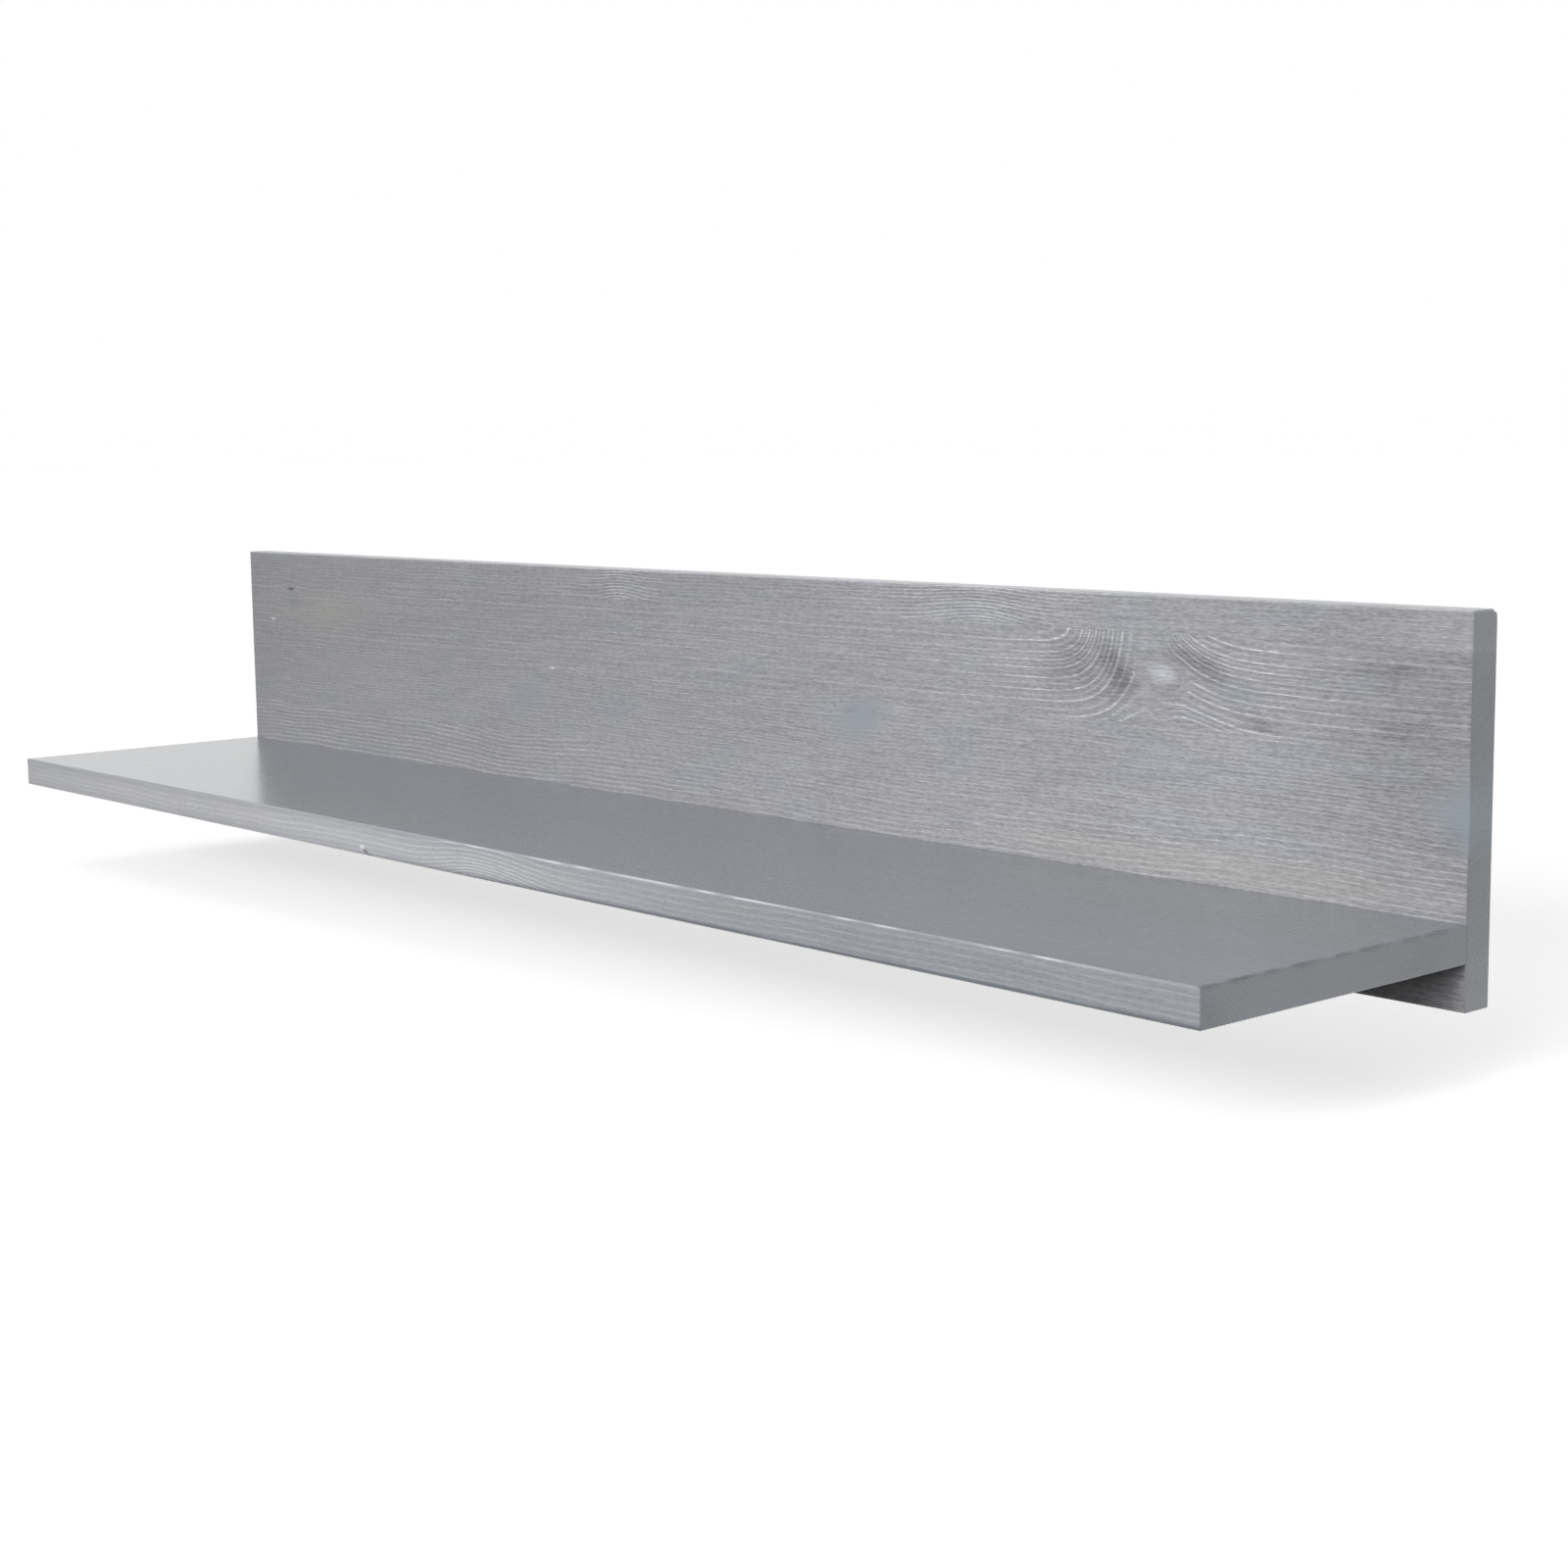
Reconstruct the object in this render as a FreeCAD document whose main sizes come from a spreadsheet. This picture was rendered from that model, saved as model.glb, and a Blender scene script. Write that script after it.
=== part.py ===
import FreeCAD, Part

import operator
import os
from math import pi
from types import SimpleNamespace

import Sketcher

# A wall shelf of two solid pine boards. The back board lies flat on the wall and the shelf
# board is butted square to its front, a little above its lower edge. Both boards are panels of
# edge-glued staves. Dowels and screws from behind hold the boards together, and two keyhole
# plates let into the back hang the shelf on two wall screws.
#
# Frame: +X runs to the right along the boards, -Y points out of the wall towards the room and
# +Z is up. The origin lies on the wall face, midway along, at the height of the keyhole plates.

# Driving sizes in millimetres
SIZES = {
    # boards
    "board_length": 1050,
    "back_thickness": 18,
    "shelf_thickness": 18,
    "shelf_depth": 182,
    "rise_above": 138,  # back board above the shelf's top
    "drop_below": 22,  # back board below the shelf's underside
    # staves that the panel saw cut narrower than the full ones
    "top_stave": 18.5,
    "bottom_stave": 24.5,
    "front_stave": 40.5,
    # edges
    "long_arris": 1.0,  # rounding along the boards
    "end_arris": 0.6,  # rounding round their sawn ends
    "bevel_depth": 3.6,  # bevel along the top rear edge, on the top
    "bevel_height": 2.1,  # and on the rear face
    # joint between the boards
    "joint_inset": 60,  # first screw from the boards' end
    "screw_length": 50,
    "screw_shank": 2.25,  # radius
    "screw_head": 4.5,  # radius
    "screw_gap": 0.1,  # round a screw in its hole
    "dowel_radius": 4,
    "dowel_length": 30,
    "dowel_in_back": 12,
    "dowel_lead": 0.4,  # chamfer at its ends
    "dowel_gap": 0.1,  # round a dowel in its hole
    "dowel_room": 1,  # for glue, past each end
    # keyhole plates
    "plate_drop": 41,  # plates' middle below the back board's top
    "plate_inset": 125,  # and from the board's end
    "plate_length": 40,
    "plate_width": 16,
    "plate_thickness": 1.5,
    "plate_gap": 0.2,  # round a plate in its recess
    "plate_screw_inset": 4.5,
    "keyhole_entry": 5,  # radius
    "keyhole_slot": 2.4,  # half its width
    "keyhole_travel": 11,
    "head_room": 6,  # radius of the pocket for the wall screw's head
    "head_room_depth": 9,
    "plate_screw_length": 13,
    "plate_screw_shank": 1.5,
    "plate_screw_head": 2.6,
    # cuts run this far past a face
    "overrun": 2,
}

INNER_STAVES = 3
JOINT_SCREWS = 4

# How near two lengths are taken to be one
TOUCH = 1e-4

doc = FreeCAD.newDocument("wall_shelf")
sheet = doc.addObject("Spreadsheet::Sheet", "sizes")
for row, (name, value) in enumerate(SIZES.items(), start=1):
    sheet.set(f"A{row}", name.replace("_", " "))
    sheet.set(f"B{row}", str(value))
    sheet.setAlias(f"B{row}", name)
doc.recompute()


def worked(sign, work):
    """A sum of two sizes that is done on their numbers and written out in their words."""

    def method(self, other):
        value = work(self.value, getattr(other, "value", other))
        return Size(value, f"({self.words} {sign} {getattr(other, 'words', other)})")

    return method


class Size:
    """A length held twice: as a number, and as the words that an expression gives it."""

    def __init__(self, value, words):
        self.value = value
        self.words = words

    __add__ = worked("+", operator.add)
    __sub__ = worked("-", operator.sub)
    __mul__ = worked("*", operator.mul)
    __truediv__ = worked("/", operator.truediv)

    def __neg__(self):
        return ZERO - self


ZERO = Size(0, "0")
s = SimpleNamespace(**{name: Size(value, f"sizes.{name}") for name, value in SIZES.items()})

# Levels and places worked out from the driving sizes
back_top = s.plate_drop
shelf_top = back_top - s.rise_above
shelf_middle = shelf_top - s.shelf_thickness / 2
back_bottom = shelf_top - s.shelf_thickness - s.drop_below
back_height = back_top - back_bottom
full_back_stave = (back_height - s.top_stave - s.bottom_stave) / INNER_STAVES
full_shelf_stave = (s.shelf_depth - s.front_stave) / INNER_STAVES
half_length = s.board_length / 2
joint_pitch = (half_length - s.joint_inset) / (JOINT_SCREWS - 1)  # from a screw to a dowel
plate_bottom = -s.plate_length / 2
entry_height = (s.plate_length - s.keyhole_travel) / 2
slot_height = entry_height + s.keyhole_travel


def bind(thing, **sizes):
    """Tie properties to sizes. Two underscores in a name stand for a dot."""
    for name, size in sizes.items():
        thing.setExpression(name.replace("__", "."), size.words)


def place(thing, x=ZERO, y=ZERO, z=ZERO):
    bind(thing, Placement__Base__x=x, Placement__Base__y=y, Placement__Base__z=z)


def new_body(name):
    body = doc.addObject("PartDesign::Body", name)
    body.Label = name
    return body


def new_sketch(body, role):
    """An empty sketch on one of the body's own origin planes."""
    sketch = body.newObject("Sketcher::SketchObject", f"{body.Name}_sketch")
    plane = next(o for o in body.Origin.OriginFeatures if o.Role == role)
    sketch.AttachmentSupport = [(plane, "")]
    sketch.MapMode = "FlatFace"
    return sketch


def tie(sketch, kind, *points, size):
    """A dimension on the sketch that follows a size."""
    index = sketch.addConstraint(Sketcher.Constraint(kind, *points, size.value))
    sketch.setExpression(f"Constraints[{index}]", size.words)


# A sketch counts the points of a line or an arc from one up, and its own axes from minus one down
START, END, CENTRE = range(1, 4)
ALONG_X, ALONG_Y = range(-1, -3, -1)
ORIGIN = (ALONG_X, START)
OUT_OF_SKETCH = FreeCAD.Vector(0, 0, 1)


def hold(sketch, part, point, x, y):
    """Hold a point of the sketch at two sizes from its origin, or on an axis."""
    for kind, axis, size in (("DistanceX", ALONG_Y, x), ("DistanceY", ALONG_X, y)):
        if size is ZERO:
            sketch.addConstraint(Sketcher.Constraint("PointOnObject", part, point, axis))
        else:
            tie(sketch, kind, *ORIGIN, part, point, size=size)


def draw_outline(sketch, corners):
    """A closed run of straight lines from corner to corner."""
    spots = [FreeCAD.Vector(x.value, y.value, 0) for x, y in corners]
    ahead = spots[1:] + spots[:1]
    lines = [sketch.addGeometry(Part.LineSegment(a, b)) for a, b in zip(spots, ahead)]
    for line, before, (x, y) in zip(lines, lines[-1:] + lines[:-1], corners):
        sketch.addConstraint(Sketcher.Constraint("Coincident", before, END, line, START))
        hold(sketch, line, START, x, y)


def draw_circle(sketch, radius, x, y):
    centre = FreeCAD.Vector(x.value, y.value, 0)
    circle = sketch.addGeometry(Part.Circle(centre, OUT_OF_SKETCH, radius.value))
    hold(sketch, circle, CENTRE, x, y)
    tie(sketch, "Radius", circle, size=radius)


def draw_slot(sketch, radius, low, high):
    """An upright slot with round ends, whose centres lie at two heights on the Y axis."""
    ends = []
    for height, start in ((low, pi), (high, 0)):
        centre = FreeCAD.Vector(0, height.value, 0)
        circle = Part.Circle(centre, OUT_OF_SKETCH, radius.value)
        ends.append(sketch.addGeometry(Part.ArcOfCircle(circle, start, start + pi)))
        hold(sketch, ends[-1], CENTRE, ZERO, height)
    bottom, top = ends
    for side, lower, upper in ((-1, START, END), (1, END, START)):
        foot = FreeCAD.Vector(side * radius.value, low.value, 0)
        head = FreeCAD.Vector(side * radius.value, high.value, 0)
        line = sketch.addGeometry(Part.LineSegment(foot, head))
        sketch.addConstraint(Sketcher.Constraint("Tangent", bottom, lower, line, START))
        sketch.addConstraint(Sketcher.Constraint("Tangent", top, upper, line, END))
    sketch.addConstraint(Sketcher.Constraint("Equal", bottom, top))
    tie(sketch, "Radius", bottom, size=radius)


def add(body, kind, sketch, **settings):
    """A feature of the body on a sketch, with its plain settings and its sizes."""
    feature = body.newObject(f"PartDesign::{kind}", f"{body.Name}_{kind.lower()}")
    if sketch:
        feature.Profile = sketch
        sketch.Visibility = False
    for name, value in settings.items():
        if isinstance(value, Size):
            bind(feature, **{name: value})
        else:
            setattr(feature, name, value)
    doc.recompute()
    return feature


def cut_through(body, sketch):
    """Cut the sketch through the whole body, and make sure that something went."""
    before = body.Shape.Volume
    pocket = add(body, "Pocket", sketch, Type="ThroughAll", Reversed=True)
    if body.Shape.Volume >= before:
        raise ValueError(f"{pocket.Name} cuts nothing")
    return pocket


def edge_names(feature, test):
    """The names of a feature's edges whose bounding box passes a test."""
    edges = enumerate(feature.Shape.Edges, start=1)
    return [f"Edge{number}" for number, edge in edges if test(edge.BoundBox)]


def near(a, b):
    return abs(a - b) < TOUCH


def flat_at(box, axis, value):
    """Whether an edge's box lies wholly at one value of an axis."""
    low = getattr(box, f"{axis}Min")
    high = getattr(box, f"{axis}Max")
    return near(low, value) and near(high, value)


# Staves


def stave(name, across, up, glued, bevelled=False):
    """One stave: a plank along X with its outer edges eased.

    across is its size along Y and up along Z. glued lists the sides, as (axis, distance), that
    meet a neighbour: their edges stay sharp so that the joint closes. bevelled gives it the top
    rear bevel. The other long edges on the rear side stay as the saw left them.
    """
    body = new_body(f"{name}_plank")
    section = new_sketch(body, "YZ_Plane")
    draw_outline(section, [(ZERO, ZERO), (across, ZERO), (across, up), (ZERO, up)])
    last = add(body, "Pad", section, Length=s.board_length, Midplane=True)
    ends = (half_length.value, -half_length.value)

    def outer(box):
        return not any(flat_at(box, axis, side.value) for axis, side in glued)

    def on_sawn_end(box):
        return outer(box) and any(flat_at(box, "X", end) for end in ends)

    def long_front(box):
        level = flat_at(box, "Z", 0) or flat_at(box, "Z", up.value)
        return level and flat_at(box, "Y", 0) and outer(box) and not near(box.XMin, box.XMax)

    def top_rear(box):
        return flat_at(box, "Y", across.value) and flat_at(box, "Z", up.value)

    if bevelled:
        bevel = {"ChamferType": "Two distances", "Size": s.bevel_height, "Size2": s.bevel_depth}
        last = add(body, "Chamfer", None, Base=(last, edge_names(last, top_rear)), **bevel)
    corners = edge_names(last, long_front)
    if corners:
        last = add(body, "Fillet", None, Base=(last, corners), Radius=s.long_arris)
    add(body, "Fillet", None, Base=(last, edge_names(last, on_sawn_end)), Radius=s.end_arris)
    return body


def stack(names, widths):
    """Pair names with widths and with where each starts, laid side by side from nought."""
    start = ZERO
    for name, width in zip(names, widths):
        yield name, start, width
        start = width + start


BACK_NAMES = ("bottom", "lower", "middle", "upper", "top")
SHELF_NAMES = ("front", "outer", "middle", "inner")
back_widths = [s.bottom_stave] + [full_back_stave] * INNER_STAVES + [s.top_stave]
shelf_widths = [s.front_stave] + [full_shelf_stave] * INNER_STAVES

planks = {}
for word, start, width in stack(BACK_NAMES, back_widths):
    glued = []
    if word != "bottom":
        glued.append(("Z", ZERO))
    if word != "top":
        glued.append(("Z", width))
    name = f"back_stave_{word}"
    planks[name] = stave(name, s.back_thickness, width, glued, bevelled=word == "top")
    place(planks[name], y=-s.back_thickness, z=start + back_bottom)

for word, start, width in stack(SHELF_NAMES, shelf_widths):
    glued = [("Y", width)]
    if word != "front":
        glued.append(("Y", ZERO))
    name = f"shelf_stave_{word}"
    planks[name] = stave(name, width, s.shelf_thickness, glued)
    front = start - s.shelf_depth - s.back_thickness
    place(planks[name], y=front, z=shelf_top - s.shelf_thickness)


# Fasteners


def turned(name, corners):
    """A turned piece about Y: half its outline, as (radius, distance along Y) corners."""
    body = new_body(name)
    half = new_sketch(body, "XY_Plane")
    draw_outline(half, corners)
    add(body, "Revolution", half, ReferenceAxis=(half, ["V_Axis"]), Angle=360)
    return body


def screw_and_hole(name, length, shank, head, x, z):
    """A countersunk wood screw driven in from the rear face, and the hole that it sits in.

    The head's cone is 90 degrees, so it is as deep as it is wider than the shank. The shank is
    as thick as the screw is over its thread, which is left off with its point.
    """
    screw = turned(
        name,
        [
            (ZERO, ZERO),
            (shank, ZERO),
            (shank, length - head + shank),
            (head, length),
            (ZERO, length),
        ],
    )
    place(screw, x=x, y=-length, z=z)
    depth = length + s.screw_gap
    bore = shank + s.screw_gap
    mouth = head + s.screw_gap
    hole = turned(
        f"{name}_hole",
        [
            (ZERO, ZERO),
            (bore, ZERO),
            (bore, depth - mouth + bore),
            (mouth + s.overrun, depth + s.overrun),
            (ZERO, depth + s.overrun),
        ],
    )
    place(hole, x=x, y=-depth, z=z)
    return screw, hole


parts = []
drilling = []

# Screws and dowels take turns along the joint, a pitch apart, and the row is centred
screw_steps = range(1 - JOINT_SCREWS, JOINT_SCREWS, 2)
dowel_steps = range(screw_steps[0] + 1, JOINT_SCREWS - 1, 2)

for number, step in enumerate(screw_steps, start=1):
    screw, hole = screw_and_hole(
        f"joint_screw_{number}",
        s.screw_length,
        s.screw_shank,
        s.screw_head,
        joint_pitch * step,
        shelf_middle,
    )
    parts.append(screw)
    drilling.append(hole)


def dowel_pin(name):
    """A beech dowel along -Y with its ends chamfered."""
    body = new_body(name)
    round_section = new_sketch(body, "XZ_Plane")
    draw_circle(round_section, s.dowel_radius, ZERO, ZERO)
    pad = add(body, "Pad", round_section, Length=s.dowel_length)
    rims = edge_names(pad, lambda box: near(box.YMin, box.YMax))
    add(body, "Chamfer", None, Base=(pad, rims), Size=s.dowel_lead)
    return body


for number, step in enumerate(dowel_steps, start=1):
    name = f"joint_dowel_{number}"
    x = joint_pitch * step
    rear_end = s.dowel_in_back - s.back_thickness
    dowel = dowel_pin(name)
    place(dowel, x=x, y=rear_end, z=shelf_middle)
    parts.append(dowel)
    hole = doc.addObject("Part::Cylinder", f"{name}_hole")
    bind(
        hole,
        Radius=s.dowel_radius + s.dowel_gap,
        Height=s.dowel_length + s.dowel_room * 2,
    )
    hole.Placement.Rotation = FreeCAD.Rotation(FreeCAD.Vector(1, 0, 0), 90)
    place(hole, x=x, y=rear_end + s.dowel_room, z=shelf_middle)
    drilling.append(hole)


# Hanging plates


def slot_block(name, radius, low, high, depth):
    """A flat block along -Y with an upright slot's outline, from the rear face inwards."""
    body = new_body(name)
    outline = new_sketch(body, "XZ_Plane")
    draw_slot(outline, radius, low, high)
    add(body, "Pad", outline, Length=depth)
    return body


def keyhole_plate(name):
    """A round-ended steel plate with a round entry that a slot runs up from."""
    half_width = s.plate_width / 2
    body = slot_block(name, half_width, half_width, s.plate_length - half_width, s.plate_thickness)
    entry = new_sketch(body, "XZ_Plane")
    draw_circle(entry, s.keyhole_entry, ZERO, entry_height)
    cut_through(body, entry)
    slot = new_sketch(body, "XZ_Plane")
    draw_slot(slot, s.keyhole_slot, entry_height, slot_height)
    cut_through(body, slot)
    return body


plates = []
for side, sign in (("left", -1), ("right", 1)):
    x = (half_length - s.plate_inset) * sign
    blank = keyhole_plate(f"hanger_plate_{side}_blank")
    place(blank, x=x, z=plate_bottom)
    recess_radius = s.plate_width / 2 + s.plate_gap
    recess_low = s.plate_width / 2
    recess = slot_block(
        f"hanger_recess_{side}",
        recess_radius,
        recess_low,
        s.plate_length - recess_low,
        s.plate_thickness,
    )
    pocket = slot_block(
        f"hanger_pocket_{side}",
        s.head_room,
        entry_height,
        slot_height,
        s.head_room_depth,
    )
    for tool in (recess, pocket):
        place(tool, x=x, z=plate_bottom)
        drilling.append(tool)
    holes = []
    reach = s.plate_length / 2 - s.plate_screw_inset
    for level, height in (("upper", reach), ("lower", -reach)):
        screw, hole = screw_and_hole(
            f"hanger_screw_{side}_{level}",
            s.plate_screw_length,
            s.plate_screw_shank,
            s.plate_screw_head,
            x,
            height,
        )
        parts.append(screw)
        holes.append(hole)
    drilling.extend(holes)
    plates.append((f"hanger_plate_{side}", blank, holes))


# Cuts


def joined_tool(name, tools):
    fuse = doc.addObject("Part::MultiFuse", name)
    fuse.Shapes = tools
    return fuse


def cut_part(name, base, tool):
    cut = doc.addObject("Part::Cut", name)
    cut.Label = name
    cut.Base = base
    cut.Tool = tool
    parts.append(cut)


# The boards are drilled and routed after they are glued up, so every stave meets every tool
drilled = joined_tool("board_drilling", drilling)
for name, plank in planks.items():
    cut_part(name, plank, drilled)
for name, blank, holes in plates:
    cut_part(name, blank, joined_tool(f"{name}_holes", holes))

doc.recompute()

for thing in doc.Objects:
    if "Invalid" in thing.State or "Error" in thing.State:
        raise ValueError(f"{thing.Name} failed: {thing.State}")
for part in parts:
    if part.Shape.isNull() or not part.Shape.isValid():
        raise ValueError(f"{part.Label} has no sound shape")

os.makedirs("parts", exist_ok=True)
for part in parts:
    part.Shape.exportStep(f"parts/{part.Label}.step")
print(len(parts), "pieces written")
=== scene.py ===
# %% [markdown]
# # A wall shelf in brushed grey pine
#
# Two pine boards, one flat on the wall and one butted square to its front. Both are panels glued
# up from staves about 45 mm wide, brushed so that the hard rings stand proud, and stained grey.
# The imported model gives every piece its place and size. This lesson gives the boards their grain,
# their relief and their finish, and dresses the fasteners that show from behind.

import bpy
import numpy as np
from math import pi, radians
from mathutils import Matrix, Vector
from types import SimpleNamespace


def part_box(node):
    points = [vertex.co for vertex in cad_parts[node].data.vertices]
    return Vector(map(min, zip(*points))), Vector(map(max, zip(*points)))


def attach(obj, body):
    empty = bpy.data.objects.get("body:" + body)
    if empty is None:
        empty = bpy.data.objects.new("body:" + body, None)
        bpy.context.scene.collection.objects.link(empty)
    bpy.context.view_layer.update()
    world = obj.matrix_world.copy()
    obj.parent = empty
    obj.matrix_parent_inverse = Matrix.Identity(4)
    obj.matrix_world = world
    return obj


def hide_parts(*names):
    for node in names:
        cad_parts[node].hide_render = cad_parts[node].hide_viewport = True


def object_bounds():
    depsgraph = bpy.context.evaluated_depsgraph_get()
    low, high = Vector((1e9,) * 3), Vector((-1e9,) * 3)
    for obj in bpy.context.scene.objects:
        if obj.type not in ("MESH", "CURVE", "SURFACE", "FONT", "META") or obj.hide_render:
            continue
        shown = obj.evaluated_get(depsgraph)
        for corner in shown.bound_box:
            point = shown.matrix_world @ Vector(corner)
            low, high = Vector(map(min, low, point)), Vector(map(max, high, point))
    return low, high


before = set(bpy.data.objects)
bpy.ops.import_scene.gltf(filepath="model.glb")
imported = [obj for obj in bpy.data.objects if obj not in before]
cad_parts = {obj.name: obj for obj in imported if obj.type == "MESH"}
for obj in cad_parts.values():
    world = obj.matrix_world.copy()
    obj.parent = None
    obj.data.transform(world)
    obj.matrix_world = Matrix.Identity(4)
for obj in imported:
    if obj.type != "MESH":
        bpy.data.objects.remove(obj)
cad_box = [list(corner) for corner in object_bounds()]
print(len(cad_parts), "pieces in the packed model")

# %% [markdown]
# Everything below is worked out in millimetres, because that is how a joiner measures a board.
# One factor turns them into Blender's metres at the moment that a mesh is made.

# %% Millimetres, and the boards' measures
MM = 0.001


def node_box(name):
    """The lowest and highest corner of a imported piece, in millimetres."""
    low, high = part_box(name)
    return np.array(low) / MM, np.array(high) / MM


board_low, board_high = node_box("back_stave_upper")
LEFT_END = board_low[0]
LENGTH = board_high[0] - board_low[0]
THICKNESS = board_high[1] - board_low[1]
print("boards", round(LENGTH), "mm long and", round(THICKNESS), "mm thick")

# %% [markdown]
# A shape is computed as a whole grid of points. `grid_mesh` turns such a grid into a closed mesh:
# rows run along the piece, columns run round it, the last column meets the first, and the small
# loops at the two ends are closed with one face each. numpy fills the mesh in one go, which is far
# quicker than adding vertices one by one.

# %% From a grid of points to a closed mesh


def grid_mesh(name, points):
    """A closed tube from points (rows, columns, 3) in millimetres, whose columns meet up."""
    rows, columns = points.shape[:2]
    index = np.arange(rows * columns).reshape(rows, columns)
    ahead = np.roll(index, -1, axis=1)
    quads = np.stack([index[:-1], index[1:], ahead[1:], ahead[:-1]], axis=-1).reshape(-1, 4)
    corners = np.concatenate([quads.ravel(), index[0], index[-1][::-1]])
    starts = np.append(np.arange(0, quads.size + 1, 4), quads.size + columns)
    mesh = bpy.data.meshes.new(name)
    mesh.vertices.add(rows * columns)
    mesh.vertices.foreach_set("co", (points * MM).ravel())
    mesh.loops.add(len(corners))
    mesh.loops.foreach_set("vertex_index", corners)
    mesh.polygons.add(len(starts))
    mesh.polygons.foreach_set("loop_start", starts)
    mesh.update(calc_edges=True)
    return mesh


def vertex_places(mesh):
    """All of a mesh's vertices in millimetres."""
    flat = np.empty(len(mesh.vertices) * 3)
    mesh.vertices.foreach_get("co", flat)
    return flat.reshape(-1, 3) / MM


# %% [markdown]
# A finished piece stands for a packed one: it rides on the root body, takes the plain solid's
# place, which it hides, and holds its material. Its object stays at the origin, because its place
# is already in its mesh.

# %% From a mesh to a piece


def smooth_faces(mesh, sharp_angle):
    """Shade smoothly, except across edges that turn by more than an angle in degrees."""
    mesh.polygons.foreach_set("use_smooth", np.ones(len(mesh.polygons), bool))
    mesh.set_sharp_from_angle(angle=radians(sharp_angle))


def new_object(name, data):
    """An object for some data, linked into the scene."""
    made = bpy.data.objects.new(name, data)
    bpy.context.scene.collection.objects.link(made)
    return made


def new_piece(name, mesh, node, material):
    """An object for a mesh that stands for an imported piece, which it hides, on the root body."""
    piece = new_object(name, mesh)
    mesh.materials.append(material)
    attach(piece, "root")
    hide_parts(node)
    return piece


# %% [markdown]
# ## The section of a stave
#
# A stave is a plank whose section is a rectangle with eased corners. The loop runs from the show
# face round: show face, far side, hidden face, near side. Each point knows which way is out, so
# that the same loop can be drawn in at the sawn ends and pushed out and in by the brush.
# A side that is glued to a neighbour has no outward direction, so it stays flat and whole.

# %% A section as a loop of points
ALONG = np.array([(1, 0), (0, 1), (-1, 0), (0, -1)])
OUTWARD = np.array([(0, -1), (1, 0), (0, 1), (-1, 0)])
ARC_STEPS = 4
SHARP = (0, 0, 0)


def eased(radius):
    """A corner rounded by a radius."""
    return (radius, radius, ARC_STEPS)


def section(width, thickness, corners, steps, free, brushed):
    """A closed loop of places across (v) and deep (w), with outward ways and brush strength.

    corners: for each corner, how far it eats into the side before and after, and its arc steps.
    On a corner a point is its centre plus cos(a) of one half axis plus sin(a) of the other.
    """
    tips = np.array([(0, 0), (width, 0), (width, thickness), (0, thickness)], float)
    outward = OUTWARD * np.array(free)[:, None]
    places, normals, strength = [], [], []
    for side in range(4):
        ahead = (side + 1) % 4
        before, after, arc = corners[ahead]
        start = tips[side] + ALONG[side] * corners[side][1]
        end = tips[ahead] - ALONG[side] * before
        count = max(round(float(np.linalg.norm(end - start)) / steps[side]), 1)
        share = np.arange(count)[:, None] / count
        places.append(start + (end - start) * share)
        normals.append(np.repeat(outward[side : side + 1], count, axis=0))
        strength.append(np.full(count, brushed[side]))
        if not corners[side][2]:
            normals[-1][0] = outward[side - 1] + outward[side]
            strength[-1][0] = max(brushed[side - 1], brushed[side])
        if arc:
            turn = np.arange(arc)[:, None] / arc * pi / 2
            centre = end + ALONG[ahead] * after
            across = tips[ahead] + ALONG[ahead] * after - centre
            places.append(centre - ALONG[ahead] * after * np.cos(turn) + across * np.sin(turn))
            normals.append(outward[side] * np.cos(turn) + outward[ahead] * np.sin(turn))
            share = np.arange(arc) / arc
            strength.append(brushed[side] * (1 - share) + brushed[ahead] * share)
    return np.concatenate(places), np.concatenate(normals), np.concatenate(strength)


# %% [markdown]
# ## Rows along a stave
#
# Rows lie 2.5 mm apart where the grain runs straight, and closer wherever the rings turn quickly
# or a small mark lies. At each sawn end the rows follow a quarter circle, and then shrink to the
# section's middle, so that the end grain has points of its own to carry the rings.

# %% Rows along a stave
ROW_STEP, BUSY_STEP = 2.5, 0.8
# Places at which the rows' rate is worked out
PROBES = 4001
END_EASING = 0.6
# How far out the loops of points on a sawn end lie, as shares of the section
CAP_SHARES = (0.02, 0.2, 0.4, 0.6, 0.78, 0.92)


def hump(x, centre, left, right):
    """A bell that is 1 at its centre, with its own spread on each side."""
    spread = np.where(x < centre, left, right)
    return np.exp(-(((x - centre) / spread) ** 2) / 2)


def rows_along(busy):
    """Places from end to end: the inverse of how many rows have passed by each place."""
    x = np.linspace(0, LENGTH, PROBES)
    rate = np.full(x.shape, 1 / ROW_STEP)
    for centre, reach in busy:
        rate = np.maximum(rate, hump(x, centre, reach, reach) / BUSY_STEP)
    passed = np.concatenate([[0], np.cumsum((rate[1:] + rate[:-1]) / 2 * np.diff(x))])
    x = np.interp(np.linspace(0, passed[-1], int(passed[-1])), passed, x)
    return x[(x > END_EASING * 2) & (x < LENGTH - END_EASING * 2)]


def stave_rows(inner):
    """For each row: its place, how far the section is drawn in, and how far it shrinks."""
    turn = np.linspace(0, pi / 2, ARC_STEPS + 1)
    cap = np.array(CAP_SHARES)
    x = np.concatenate([np.zeros(len(cap)), END_EASING * (1 - np.cos(turn))])
    inset = np.concatenate([np.full(len(cap), END_EASING), END_EASING * (1 - np.sin(turn))])
    share = np.concatenate([cap, np.ones(len(turn))])
    x = np.concatenate([x, inner, LENGTH - x[::-1]])
    inset = np.concatenate([inset, np.zeros(len(inner)), inset[::-1]])
    share = np.concatenate([share, np.ones(len(inner)), share[::-1]])
    return x, inset, share


print(len(stave_rows(rows_along([]))[0]), "rows on a stave of straight grain")

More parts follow.
